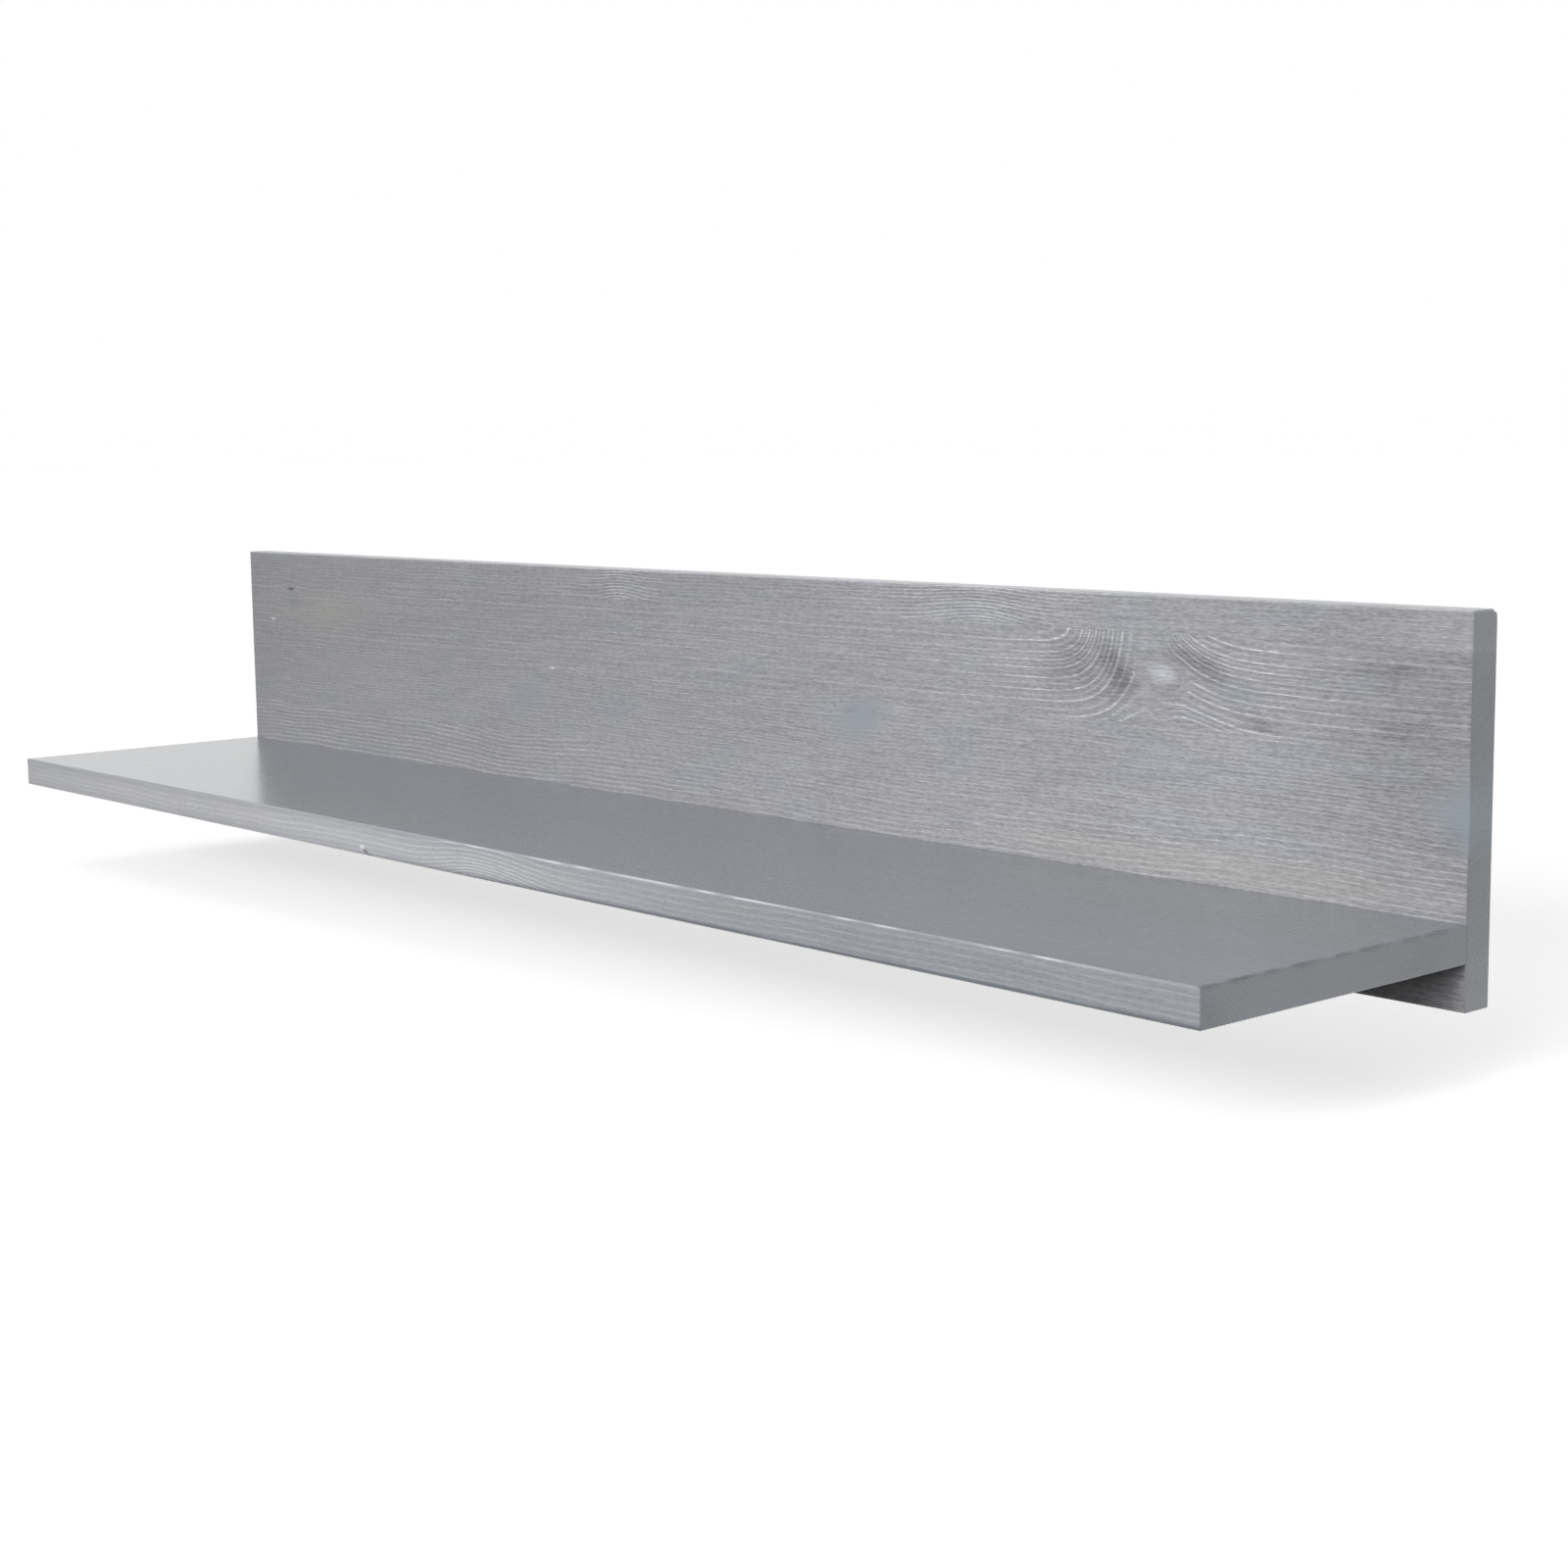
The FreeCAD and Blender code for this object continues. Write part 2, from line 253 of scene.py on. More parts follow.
# %% [markdown]
# ## Growth rings
#
# Every line on a board is a growth ring cut by its surface. So each stave carries one smooth
# field: how many rings lie below a point. Whole numbers of that field are the hard late wood. It
# is worked out from the distance t across the stave, which wanders a little along the board and
# leans through the thickness, so that the sawn ends show the same rings. The brush relief and the
# colour both read it, so ridges and lines always agree.
#
# Four things bend it. An arch takes a bell off the distance near one edge, which leaves the
# nested arches of a knot that the saw cut away. A knot parts the rings like a stone in a stream.
# A spike pulls the rings up to a glue line, where a branch met it. A core is a branch's own wood,
# with rings round its middle.

# %% The field of one stave
# Wandering rings: each wave's length, its height, and how far across it turns by one radian
WAVES = ((420, 1.5, 37), (150, 0.55, 23), (61, 0.2, 14), (23, 0.07, 8))
# Uneven growth: rings gained or lost, over what distance, and how it uses the seed
GROWTH = ((0.35, 10.7, 1), (0.16, 4.9, 2))
# How far a knot's push reaches, in lengths and widths of the knot
KNOT_REACH, KNOT_DEPTH = 1.5, 3
# A core's blurred rim, and its ring count in the middle
RIM_IN, RIM_OUT = 0.8, 1.15
CORE_START = 0.5


def waves(x, t, seed):
    """How far the rings wander: a few sines along the stave, each turning a little with t."""
    chance = np.random.default_rng(seed)
    total = 0
    for length, height, turn in WAVES:
        phase, stretch = chance.uniform(0, 2 * pi), chance.uniform(0.85, 1.2)
        total = total + height * np.sin(2 * pi * x / (length * stretch) + phase + t / turn)
    return total


def ellipse(x, t, spot):
    """How far out a point lies in a spot, with 1 on its rim. The spot leans by a share of t."""
    along = (x - spot.x - spot.lean * (t - spot.t)) / spot.along
    across = (t - spot.t) / spot.across
    return np.abs(along) + np.abs(across) if spot.pointed else np.hypot(along, across)


def fade(value, full, none):
    """A smooth step: 1 at full and beyond, 0 at none and beyond."""
    share = np.clip((value - none) / (full - none), 0, 1)
    return share * share * (3 - 2 * share)


def face_distance(stave, v, w):
    """The distance across the face that knots and marks are placed by.

    On the shelf's front stave it goes on round the corner: below 0 it is down the front edge.
    """
    if stave.grain.folded:
        return v - w
    return stave.width - v if stave.grain.from_far else v


def ring_field(stave, x, v, w):
    """The ring count at places along (x), across (v) and deep (w), all in millimetres."""
    grain = stave.grain
    face = face_distance(stave, v, w)
    t = face + w * grain.lean
    t = t + waves(x, t, grain.seed) * grain.waviness
    for one in grain.arches:
        near = np.exp(-np.abs(face - one.base) / one.depth)
        t = t - one.rise * hump(x, one.x, one.left, one.right) * near
    for one in grain.knots:
        reach = one.along * KNOT_REACH
        part = one.push * np.tanh((face - one.t) / one.across) * hump(x, one.x, reach, reach)
        t = t - part * np.exp(-(((face - one.t) / (one.across * KNOT_DEPTH)) ** 2))
    for one in grain.spikes:
        t = spiked(one, x, np.maximum(t, 0))
    if isinstance(grain.spacing, tuple):
        rings = np.interp(t, grain.spacing, np.arange(len(grain.spacing)))
    else:
        rings = t / grain.spacing
        for amount, length, times in GROWTH:
            rings = rings + amount * np.sin(t / length + times * grain.seed)
    for one in grain.cores:
        away = ellipse(x, face, one)
        inside = fade(away, RIM_IN, RIM_OUT)
        rings = rings * (1 - inside) + (away * one.rings + CORE_START) * inside
    return rings


# %% [markdown]
# A spike is a power mean of two lengths: the distance to the glue line and a pull, which is a
# bell along the board. To the left of the spike the power is high, so the rings turn up in a
# round hook. To the right it nears 1, and they come down from the glue line at a slant.

# %% Rings that a branch pulls to the glue line
HOOK_POWER, SLANT_LOSS = 1.7, 0.65
TURN_FROM, TURN_TO = -5, 25
PULL_DEPTH = 60


def spiked(one, x, t):
    """(t to the power p, plus the pull to the power p) to the power 1/p, p falling to the right."""
    after = np.maximum(x - one.x, 0)
    before = np.maximum(one.x - x, 0)
    along = ((before / one.left) ** 2) / 2 + after / one.right
    pull = one.rise * np.exp(-along - (t / PULL_DEPTH) ** 2)
    power = HOOK_POWER - SLANT_LOSS * fade(x, one.x + TURN_TO, one.x + TURN_FROM)
    return (t**power + pull**power) ** (1 / power)


# %% [markdown]
# The hard rings stand proud after brushing. `ridge` is a narrow bump at each whole number of the
# field: e to the power of k times (cos of the ring's turn, less one). It never has a corner, so
# both the relief and the shader can use it. Each ring gets its own strength by a hash of its
# number, since no two years are alike.

# %% Ridges
WEAKEST_RING = 0.45
# The wire brush's marks: their lengths, and how far apart they lie
BRUSH_MARKS = ((47, 3.1), (29, 1.9), (17, 1.3), (11, 2.3), (7.3, 1.1), (5.1, 1.7))


def ridge(rings, narrow):
    """1 on each whole ring, near 0 between them."""
    return np.exp(narrow * (np.cos(2 * pi * rings) - 1))


def ring_strength(rings, paired):
    """A steady chance number up to 1 for each ring: the jumping last part of a steep sine.

    paired weakens every second ring.
    """
    year = np.round(rings)
    chance = np.abs(np.modf(np.sin(year * 12.9898) * 437.5853)[0])
    return (WEAKEST_RING + (1 - WEAKEST_RING) * chance) * (1 - paired * (year % 2))


def fine_noise(x, t, seed):
    """Short uneven bumps along the fibres, from sines of many lengths that beat together."""
    chance = np.random.default_rng(seed)
    total = 0
    for length, across in BRUSH_MARKS:
        a, b = chance.uniform(0, 2 * pi, 2)
        total = total + np.sin(2 * pi * x / length + a) * np.sin(2 * pi * t / across + b)
    return total / len(BRUSH_MARKS)


# %% [markdown]
# ## Five staves in the back, four in the shelf
#
# Each stave is cut from another part of the tree, so each has its own ring spacing, lean and
# knots. Rift-sawn staves carry straight close lines; where a branch met the glue line the rings
# hook up to it. The places are read off the real boards, from the left end and from a glue line.

# %% The words for a stave's growth


def spike(x, left, right, rise):
    """A branch at the glue line: its place, its reach on each side, and how high it pulls."""
    return SimpleNamespace(x=x, left=left, right=right, rise=rise)


def arch(x, left, right, rise, depth, base=0):
    """Nested arches: their place, reach, height, and how deep they go in from a base."""
    return SimpleNamespace(x=x, left=left, right=right, rise=rise, depth=depth, base=base)


def spot(x, t, along, across, **more):
    """An ellipse on the face, for a knot, a core or a mark, by its centre and half lengths.

    push and smooth belong to a knot. On a mark, tone is paler (darker below 0) and tint is
    yellower (bluer below 0).
    """
    plain = dict(lean=0, pointed=False, push=0, smooth=1, tone=0, tint=0)
    return SimpleNamespace(x=x, t=t, along=along, across=across, **{**plain, **more})


def grain(spacing, lean, seed, **more):
    """One stave's growth: unnamed features are absent. bolder lists (x, left, right, amount).

    spacing is the distance between rings, or the place of each one.
    """
    plain = dict(waviness=1, bold=0.3, paired=0, from_far=False, folded=False)
    features = dict(arches=[], spikes=[], cores=[], knots=[], marks=[], bolder=[])
    return SimpleNamespace(spacing=spacing, lean=lean, seed=seed, **{**plain, **features, **more})


# %% [markdown]
# The upper stave holds the branch: its rings hook up to the glue line on the left of a pale core
# and slant down on the right, with dark stain between them. Its rings are uneven, so each one has
# its own place. The middle stave has three smooth knots, the last of them cut by the sawn end.

# %% What each stave of the back grew like
UPPER_RINGS = (
    0, 3.5, 7.5, 10.5, 13.5, 15.5, 17.5, 19.5, 21.5, 24, 26.5, 29.6,
    32.8, 35.5, 38.2, 42.5, 46, 49, 52, 56, 60, 65, 70,
)

GRAINS = {
    "back_stave_top": grain(
        2.3, 0.5, 11,
        waviness=0.4,
        bold=0.25,
        arches=[arch(446, 13, 15, 5, 14), arch(752, 28, 20, 8, 15)],
        marks=[
            spot(446, 4, 12, 5, tone=0.25),
            spot(753, 4, 16, 6, tone=0.25),
            spot(785, 2, 14, 4, tone=-0.2),
            spot(990, 10, 90, 12, tone=-0.12),
            spot(966, 6, 8, 1.4, tone=-0.5),
        ],
        bolder=[(752, 50, 40, 0.9), (446, 24, 24, 0.8), (990, 90, 60, -0.4)],
    ),
    "back_stave_upper": grain(
        UPPER_RINGS, 0.9, 12,
        waviness=0.35,
        from_far=True,
        paired=0.8,
        spikes=[spike(866, 27, 21, 45.5)],
        cores=[spot(875, 19.5, 15, 10.5, rings=1.2, lean=0.5)],
        arches=[arch(895, 11, 14, -8, 9, base=45)],
        knots=[spot(56, 12.5, 8, 7, push=4, smooth=0.5)],
        marks=[
            spot(875.5, 19.5, 9, 5, tone=0.9, tint=-0.3, lean=0.4),
            spot(880, 25, 7, 3, tone=-0.3, lean=0.5),
            spot(936, 41, 10, 4, tone=-0.6),
            spot(928, 36, 12, 3, tone=-0.25, lean=0.6),
            spot(1006, 10, 20, 6, tone=-0.3),
            spot(1012, 37, 13, 5, tone=-0.25),
            spot(1020, 30, 60, 26, tone=-0.12),
            spot(845, 17, 10, 13, tone=-0.8, lean=0.5),
            spot(850, 28, 12, 8, tone=-0.6, lean=-0.6),
            spot(820, 18, 26, 16, tone=-0.5),
            spot(903, 15, 13, 9, tone=-0.75, lean=0.9),
            spot(886, 9, 11, 8, tone=-0.5, lean=0.7),
            spot(922, 27, 16, 7, tone=-0.15, tint=-0.6, lean=0.5),
            spot(897, 38, 14, 4, tone=0.05, tint=-0.5),
            spot(30.5, 30, 3.4, 1.5, tone=1.4),
            spot(57, 7.4, 4.5, 1.3, tone=-2.2, lean=0.6),
            spot(60, 17, 9, 7, tone=-0.15, tint=-0.4),
            spot(100, 22, 90, 17, tint=0.55),
            # With the same spot on the two staves below: darker towards the back's right end
            spot(1040, 22, 90, 60, tone=-0.45),
            spot(170, 39.5, 90, 0.6, tone=0.4),
        ],
        bolder=[
            (840, 44, 24, 0.68),
            (898, 12, 36, 0.68),
            (1000, 80, 80, 0.2),
            (780, 60, 40, 0.1),
            (870, 9, 9, -0.5),
        ],
    ),
    "back_stave_middle": grain(
        1.9, -0.6, 13,
        waviness=0.7,
        bold=0.25,
        knots=[
            spot(350, 24.5, 19, 12, push=3, lean=0.8, smooth=0.75),
            spot(661, 33, 18, 12.5, push=4, lean=0.6, smooth=1.1),
            spot(1051, 18.5, 21, 20, push=5, smooth=1.2, pointed=True),
        ],
        marks=[
            spot(375.5, 44, 3, 1.2, tone=1.2),
            spot(652, 37, 7, 2, tone=-0.4, lean=0.8),
            spot(672, 37, 9, 4, tone=-0.15),
            spot(690, 40, 18, 4, tone=0.3),
            spot(1044, 8, 8, 12, tone=-0.25, lean=0.3),
            spot(900, 22, 40, 12, tint=-0.2),
            # Darker towards the back's right end
            spot(1040, 22, 90, 60, tone=-0.45),
        ],
        bolder=[(980, 120, 100, 0.1)],
    ),
    "back_stave_lower": grain(
        2.9, 0.25, 14,
        waviness=1.2,
        from_far=True,
        arches=[arch(55, 14, 70, 4, 14), arch(325, 45, 28, 5, 14), arch(560, 30, 160, 5, 14)],
        marks=[
            spot(585, 9, 14, 4, tone=0.05, tint=-0.5),
            spot(100, 3, 60, 0.8, tone=0.35),
            spot(900, 20, 150, 9, tint=0.6),
            # Darker towards the back's right end
            spot(1040, 22, 90, 60, tone=-0.3),
        ],
        bolder=[(960, 240, 160, 0.1), (325, 100, 110, 0.3), (80, 60, 80, 0.25)],
    ),
    "back_stave_bottom": grain(3.3, -0.4, 15),
}
print(len(GRAINS["back_stave_upper"].marks), "marks on the stave with the branch")

# %% [markdown]
# The shelf's front stave is folded round its corner, so that the rings of the front edge go on
# over the top. The small spots on that edge are nicks: a pale one with a dark rim, and dark ones.
# On the top, broad spots darken the other three staves towards the back board: painted shade.

# %% What each stave of the shelf grew like, and painted shade on its top
GRAINS |= {
    "shelf_stave_front": grain(
        3.5, -0.1, 21,
        folded=True,
        waviness=0.8,
        bold=0.45,
        arches=[arch(556, 28, 34, 13, 16, base=-18)],
        marks=[
            # The three long spots make the front edge paler towards its left end and darker towards
            # its right
            spot(200, -9, 560, 12, tone=1.0, tint=0.2),
            spot(470, -9, 200, 12, tone=0.3),
            spot(980, -9, 380, 12, tone=-0.5),
            spot(436.8, -13.4, 2.2, 1.1, tone=4),
            spot(440.5, -15.6, 2.4, 1, tone=-3, lean=-1),
            spot(444, -17.4, 5, 0.7, tone=-2.4),
            spot(567, -17.5, 2.5, 0.7, tone=-2),
            spot(579, -17.5, 5, 0.6, tone=-2),
            spot(647, -17.5, 2.5, 0.7, tone=-2),
        ],
        bolder=[(560, 45, 40, 0.9), (900, 200, 300, 0.2)],
    ),
    "shelf_stave_outer": grain(
        3.4, 0.8, 22,
        knots=[spot(744, 20, 15, 9, push=5, smooth=0.6)],
        # Painted shade: a little darker towards the back board
        marks=[spot(950, 30, 300, 30, tone=-0.15)],
    ),
    "shelf_stave_middle": grain(
        4.4, 0.3, 23,
        arches=[arch(250, 60, 80, 9, 18)],
        # Painted shade: darker towards the back board
        marks=[spot(900, 45, 420, 50, tone=-0.3)],
    ),
    "shelf_stave_inner": grain(
        2.8, -0.7, 24,
        spikes=[spike(610, 26, 30, 22)],
        # Painted shade: darkest next to the back board
        marks=[spot(900, 40, 560, 60, tone=-0.5)],
    ),
}
print(len(GRAINS), "staves with a growth of their own")

# %% [markdown]
# The colour needs more than the rings: how strongly the lines show at a place, where a knot has
# taken the stain smooth and blue, where a patch is darker or paler, and which faces are sawn
# across the grain. Each is a number per vertex, laid down as an attribute that the material reads.

# %% Numbers for the colour
# Where a knot's and a mark's fade ends, with 1 on the rim
KNOT_EDGE, MARK_EDGE = 1.6, 1.4


def boldness(stave, x):
    """How strongly the lines show: the stave's own strength and a bell for each bolder place."""
    total = np.full(x.shape, float(stave.grain.bold))
    for centre, left, right, amount in stave.grain.bolder:
        total = total + amount * hump(x, centre, left, right)
    return total


def smoothness(stave, x, v, w):
    """How smooth the hard wood of the knots is: the strongest knot's fade from its middle."""
    total = np.zeros(x.shape)
    for one in stave.grain.knots:
        out = ellipse(x, face_distance(stave, v, w), one)
        total = np.maximum(total, one.smooth * fade(out, 0, KNOT_EDGE))
    return total


def patches(stave, x, v, w, kind):
    """The sum of the stave's marks, for kind "tone" or "tint", each fading from its middle."""
    total = np.zeros(x.shape)
    for one in stave.grain.marks:
        out = ellipse(x, face_distance(stave, v, w), one)
        total = total + getattr(one, kind) * fade(out, 0, MARK_EDGE)
    return total


def store(mesh, name, values):
    """Lay one number per vertex down on a mesh."""
    layer = mesh.attributes.new(name, "FLOAT", "POINT")
    layer.data.foreach_set("value", np.asarray(values, np.float32))


# %% [markdown]
# Edges are painted paler or darker. The back board's top edge is paler: a painted highlight. On
# the shelf, the front edge's upper arris is pale over the right half, partly rubbed and partly a
# painted highlight, with a dark line just behind it, and a dark line of painted shade runs along
# the lower one. Painted shade runs too, with breaks, along the upper arris of the right end.

# %% Painted highlights and shade on the arrises, with some wear
# Each line's strength as tone: above 0 is paler and below 0 darker
# The top edge's pale line is a painted highlight, the right end's dark line painted shade
TOP_HIGHLIGHT, END_SHADE = 1.0, -2
# The front's pale line is partly wear and partly a painted highlight; the lower line is painted
# shade
FRONT_HIGHLIGHT_AND_WEAR, BEHIND_DARK, BELOW_SHADE = 2.8, -1.6, -2.6
# Where along the front the pale line starts and ends, and where the lower line starts
PALE_LINE_FROM, PALE_LINE_FULL, PALE_LINE_LAST, PALE_LINE_TO = 500, 560, 985, 1010
BELOW_FROM, BELOW_FULL = 380, 620


def uneven(x, short, swing, long):
    """From 0.2 to 1 and back: a sine whose phase a longer one swings."""
    return 0.6 + 0.4 * np.sin(x / short + swing * np.sin(x / long))


def arris(stave, x, v, w):
    """Painted highlights and shade, with some wear, as tone: each line is a bell across the arris
    times its strength along it.
    """
    # The back's top edge paler: a painted highlight
    top = TOP_HIGHLIGHT * fade(v, stave.width - 0.3, stave.width - 1.3) * stave.free[1]
    # A broken dark line on the shelf's right-end upper arris: painted shade
    end = END_SHADE * hump(x, LENGTH, 0.9, 1) * hump(w, 0, 1, 0.8) * uneven(v, 5, 3, 19)
    on_edge = hump(v, 0, 1, 0.35)
    # The front's upper arris paler: partly wear, partly a painted highlight
    rubbed_and_lit = FRONT_HIGHLIGHT_AND_WEAR * on_edge * hump(w, 0.5, 0.3, 0.35) * uneven(x, 7.3, 2, 17)
    rubbed_and_lit = rubbed_and_lit * fade(x, PALE_LINE_FULL, PALE_LINE_FROM) * fade(x, PALE_LINE_LAST, PALE_LINE_TO)
    # A dark line just behind the pale one
    behind = BEHIND_DARK * hump(v, 1.3, 0.4, 0.4) * hump(w, 0, 1, 0.3)
    behind = behind * (0.5 + 0.5 * np.sin(x / 31) * np.sin(x / 13))
    # A dark line along the front's lower arris: painted shade
    below = BELOW_SHADE * on_edge * hump(w, THICKNESS, 1.2, 1)
    below = below * fade(x, BELOW_FULL, BELOW_FROM)
    is_shelf = stave.axis_v == 1
    return top + end * is_shelf + (rubbed_and_lit + behind + below) * stave.grain.folded


# %% [markdown]
# ## Building a stave
#
# The section is carried along the rows. `axis_v` and `axis_w` say which way the stave lies: for
# the back the show face looks out of the wall and the section goes up it; for the shelf it looks
# up and the section goes back to the wall. The brush takes up to a third of a millimetre out of
# the soft wood, less on the shelf's top, which is sanded after brushing.

# %% A stave from its section and its rows
BRUSH_DEPTH, BRUSH_NOISE = 0.3, 0.07
RIDGE_NARROW, RIDGE_BASE = 2.5, 0.3
# The share of the relief that a smooth knot loses
KNOT_CALM = 0.8
SHARP_ANGLE = 40
# How much brushing shows on the sawn ends and on the top edge, and where an edge begins
END_BRUSH, TOP_BRUSH = 0.1, 0.5
EDGE_BAND, PAST_EASING = 0.3, 0.5


def lie(stave, x, v, w):
    """Places in the room from places along, across and deep in the stave."""
    points = np.empty(np.broadcast(x, v, w).shape + (3,))
    points[..., 0] = LEFT_END + x
    points[..., stave.axis_v] = stave.origin[stave.axis_v] + v
    points[..., stave.axis_w] = stave.origin[stave.axis_w] + stave.sign_w * w
    return points


def stave_mesh(stave, name):
    """The stave's surface: section places, drawn in at the ends and moved along their way out."""
    places, normals, strength = section(
        stave.width, stave.thickness, stave.corners, stave.steps, stave.free, stave.brushed
    )
    x, inset, share = [row[:, None] for row in stave_rows(rows_along(stave.busy))]
    v = places[:, 0] - normals[:, 0] * inset
    w = places[:, 1] - normals[:, 1] * inset
    x_each = np.broadcast_to(x, v.shape)
    rings = ring_field(stave, x, v, w)
    relief = ridge(rings, RIDGE_NARROW) * ring_strength(rings, stave.grain.paired) - RIDGE_BASE
    relief = relief * np.minimum(boldness(stave, x_each), 1)
    relief = relief * (1 - KNOT_CALM * smoothness(stave, x_each, v, w)) * BRUSH_DEPTH
    relief = relief + fine_noise(x, v + w, stave.grain.seed) * BRUSH_NOISE
    relief = (relief - BRUSH_DEPTH / 2) * strength * (share == 1) * (inset == 0)
    middle = np.array([stave.width, stave.thickness]) / 2
    v = middle[0] + (v - middle[0]) * share + normals[:, 0] * relief
    w = middle[1] + (w - middle[1]) * share + normals[:, 1] * relief
    return grid_mesh(name, lie(stave, x, v, w))


def dress(stave, mesh):
    """Give the finished mesh its shading and the numbers that its colour needs."""
    smooth_faces(mesh, SHARP_ANGLE)
    places = vertex_places(mesh)
    x = places[:, 0] - LEFT_END
    v = places[:, stave.axis_v] - stave.origin[stave.axis_v]
    w = (places[:, stave.axis_w] - stave.origin[stave.axis_w]) * stave.sign_w
    sawn = np.minimum(x, LENGTH - x) < END_EASING / 2
    beyond = w > PAST_EASING
    front_edge = beyond & (v < EDGE_BAND) & (stave.brushed[3] > 0)
    top_edge = beyond & (v > stave.width - EDGE_BAND) & (stave.brushed[1] > 0)
    store(mesh, "ring", ring_field(stave, x, v, w))
    store(mesh, "bold", boldness(stave, x))
    store(mesh, "pair", np.full(len(x), stave.grain.paired))
    store(mesh, "smooth", smoothness(stave, x, v, w))
    store(mesh, "tone", patches(stave, x, v, w, "tone") + arris(stave, x, v, w))
    store(mesh, "tint", patches(stave, x, v, w, "tint"))
    edges = [sawn, front_edge, top_edge]
    brush = np.select(edges, [END_BRUSH, stave.brushed[3], TOP_BRUSH], stave.brushed[0])
    store(mesh, "brush", brush)
    store(mesh, "sawn", sawn.astype(float))


# %% [markdown]
# ## The finish: grey stain on brushed pine
#
# The boards are pine under a semi-opaque grey stain, rubbed to a satin. The stain sinks into the
# soft wood and shades it darker, and the hard rings, which take less of it, stay pale. Where a
# knot is, the wood is too dense to take the brush, so it is smooth and a little bluer. Each of
# these only moves one number, the tone, and a colour ramp turns the tone into grey.

# %% Colours and nodes


def linear(code):
    """An sRGB hex colour as linear red, green, blue and alpha."""
    parts = [int(code[i : i + 2], 16) / 255 for i in (1, 3, 5)]
    return tuple(c / 12.92 if c <= 0.04045 else ((c + 0.055) / 1.055) ** 2.4 for c in parts) + (1,)


def fill(socket, value):
    """Give a socket a number or a colour, or link it to another node's output."""
    if isinstance(value, bpy.types.NodeSocket):
        socket.id_data.links.new(value, socket)
    else:
        socket.default_value = value


def add(tree, kind, *values, to=None, **settings):
    """Add a node and give its first output.

    settings are its properties, values fill its inputs in order and `to` fills them by name.
    """
    made = tree.nodes.new("ShaderNode" + kind)
    for name, value in settings.items():
        setattr(made, name, value)
    sockets = [socket for socket in made.inputs if socket.enabled]
    named = {socket.name: socket for socket in reversed(sockets)}
    for socket, value in zip(sockets, values):
        fill(socket, value)
    for name, value in (to or {}).items():
        fill(named[name], value)
    return next(socket for socket in made.outputs if socket.enabled)


def new_tree(data):
    """The node tree of a new material or world."""
    data.use_nodes = True
    return data.node_tree


def set_surface(tree, inputs, shader="Principled BSDF"):
    """Fill the sockets of a tree's shader by name."""
    for name, value in inputs.items():
        fill(tree.nodes[shader].inputs[name], value)


# %% [markdown]
# The pine's shader starts from the stored numbers and from four noises. Noise stretched along the
# fibres gives the brushed streaks, shorter noise the speckle that the wire brush leaves, and two
# slow ones let tone and tint wander. The ring lines come from the stored ring count: a cosine has
# its top at every whole ring, and the exponential makes the top narrow.

# %% Grey pine: noises and ring lines
STORED = ("ring", "bold", "pair", "smooth", "tone", "tint", "sawn", "brush")
# A line's narrowness, how far specks push it, and how much its strength may fall by chance
LINE_NARROW, LINE_WANDER, LINE_CHANCE = 4.5, 0.25, 0.3
# A fibre noise from 0.3 to 0.6 makes a line from 0.6 to 1.1 times as strong
LINE_BREAKS = (0.3, 0.6, 0.6, 1.1)
KNOT_SPECKLE = -0.85
# Each noise: its blobs' size along each axis in millimetres, and its detail
NOISES = {
    "fibre": ((34, 0.8, 0.8), 3.0),
    "speck": ((3.2, 0.7, 0.7), 2.0),
    "cloud": ((170, 40, 40), 2.0),
    "drift": ((60, 22, 22), 1.0),
}


def read_wood(tree):
    """All that the shader reads: the stored numbers, the noises and the place, by name."""
    wood = SimpleNamespace(place=add(tree, "TexCoord").node.outputs["Object"])
    for name in STORED:
        read = add(tree, "Attribute", attribute_name=name).node
        setattr(wood, name, read.outputs["Fac"])
    for name, (lengths, detail) in NOISES.items():
        scale = tuple(1 / (size * MM) for size in lengths)
        stretched = add(tree, "Mapping", to={"Vector": wood.place, "Scale": scale})
        noise = add(tree, "TexNoise", to={"Vector": stretched, "Scale": 1.0, "Detail": detail})
        setattr(wood, name, noise)
    wood.grit = add(tree, "Math", wood.speck, 0.5, operation="SUBTRACT")
    wood.calm = add(tree, "Math", wood.smooth, KNOT_SPECKLE, 1.0, operation="MULTIPLY_ADD")
    return wood


def ring_lines(tree, wood):
    """A thin line and a broad shade at each whole ring, the thin one of uneven strength."""
    rings = add(tree, "Math", wood.grit, LINE_WANDER, wood.ring, operation="MULTIPLY_ADD")
    turn = add(tree, "Math", rings, 2 * pi, operation="MULTIPLY")
    turn = add(tree, "Math", turn, operation="COSINE")
    below = add(tree, "Math", turn, 1.0, operation="SUBTRACT")
    broad = add(tree, "Math", below, operation="EXPONENT")
    thin = add(tree, "Math", below, LINE_NARROW, operation="MULTIPLY")
    thin = add(tree, "Math", thin, operation="EXPONENT")
    year = add(tree, "Math", rings, operation="ROUND")
    chance = add(tree, "TexWhiteNoise", year, noise_dimensions="1D")
    least = 1 - LINE_CHANCE
    chance = add(tree, "Math", chance, LINE_CHANCE, least, operation="MULTIPLY_ADD")
    odd = add(tree, "Math", year, 2.0, operation="FLOORED_MODULO")
    weaker = add(tree, "Math", odd, wood.pair, operation="MULTIPLY")
    weaker = add(tree, "Math", 1.0, weaker, operation="SUBTRACT")
    chance = add(tree, "Math", chance, weaker, operation="MULTIPLY")
    thin = add(tree, "Math", thin, chance, operation="MULTIPLY")
    breaks = add(tree, "MapRange", wood.fibre, *LINE_BREAKS)
    thin = add(tree, "Math", thin, breaks, operation="MULTIPLY")
    return thin, broad


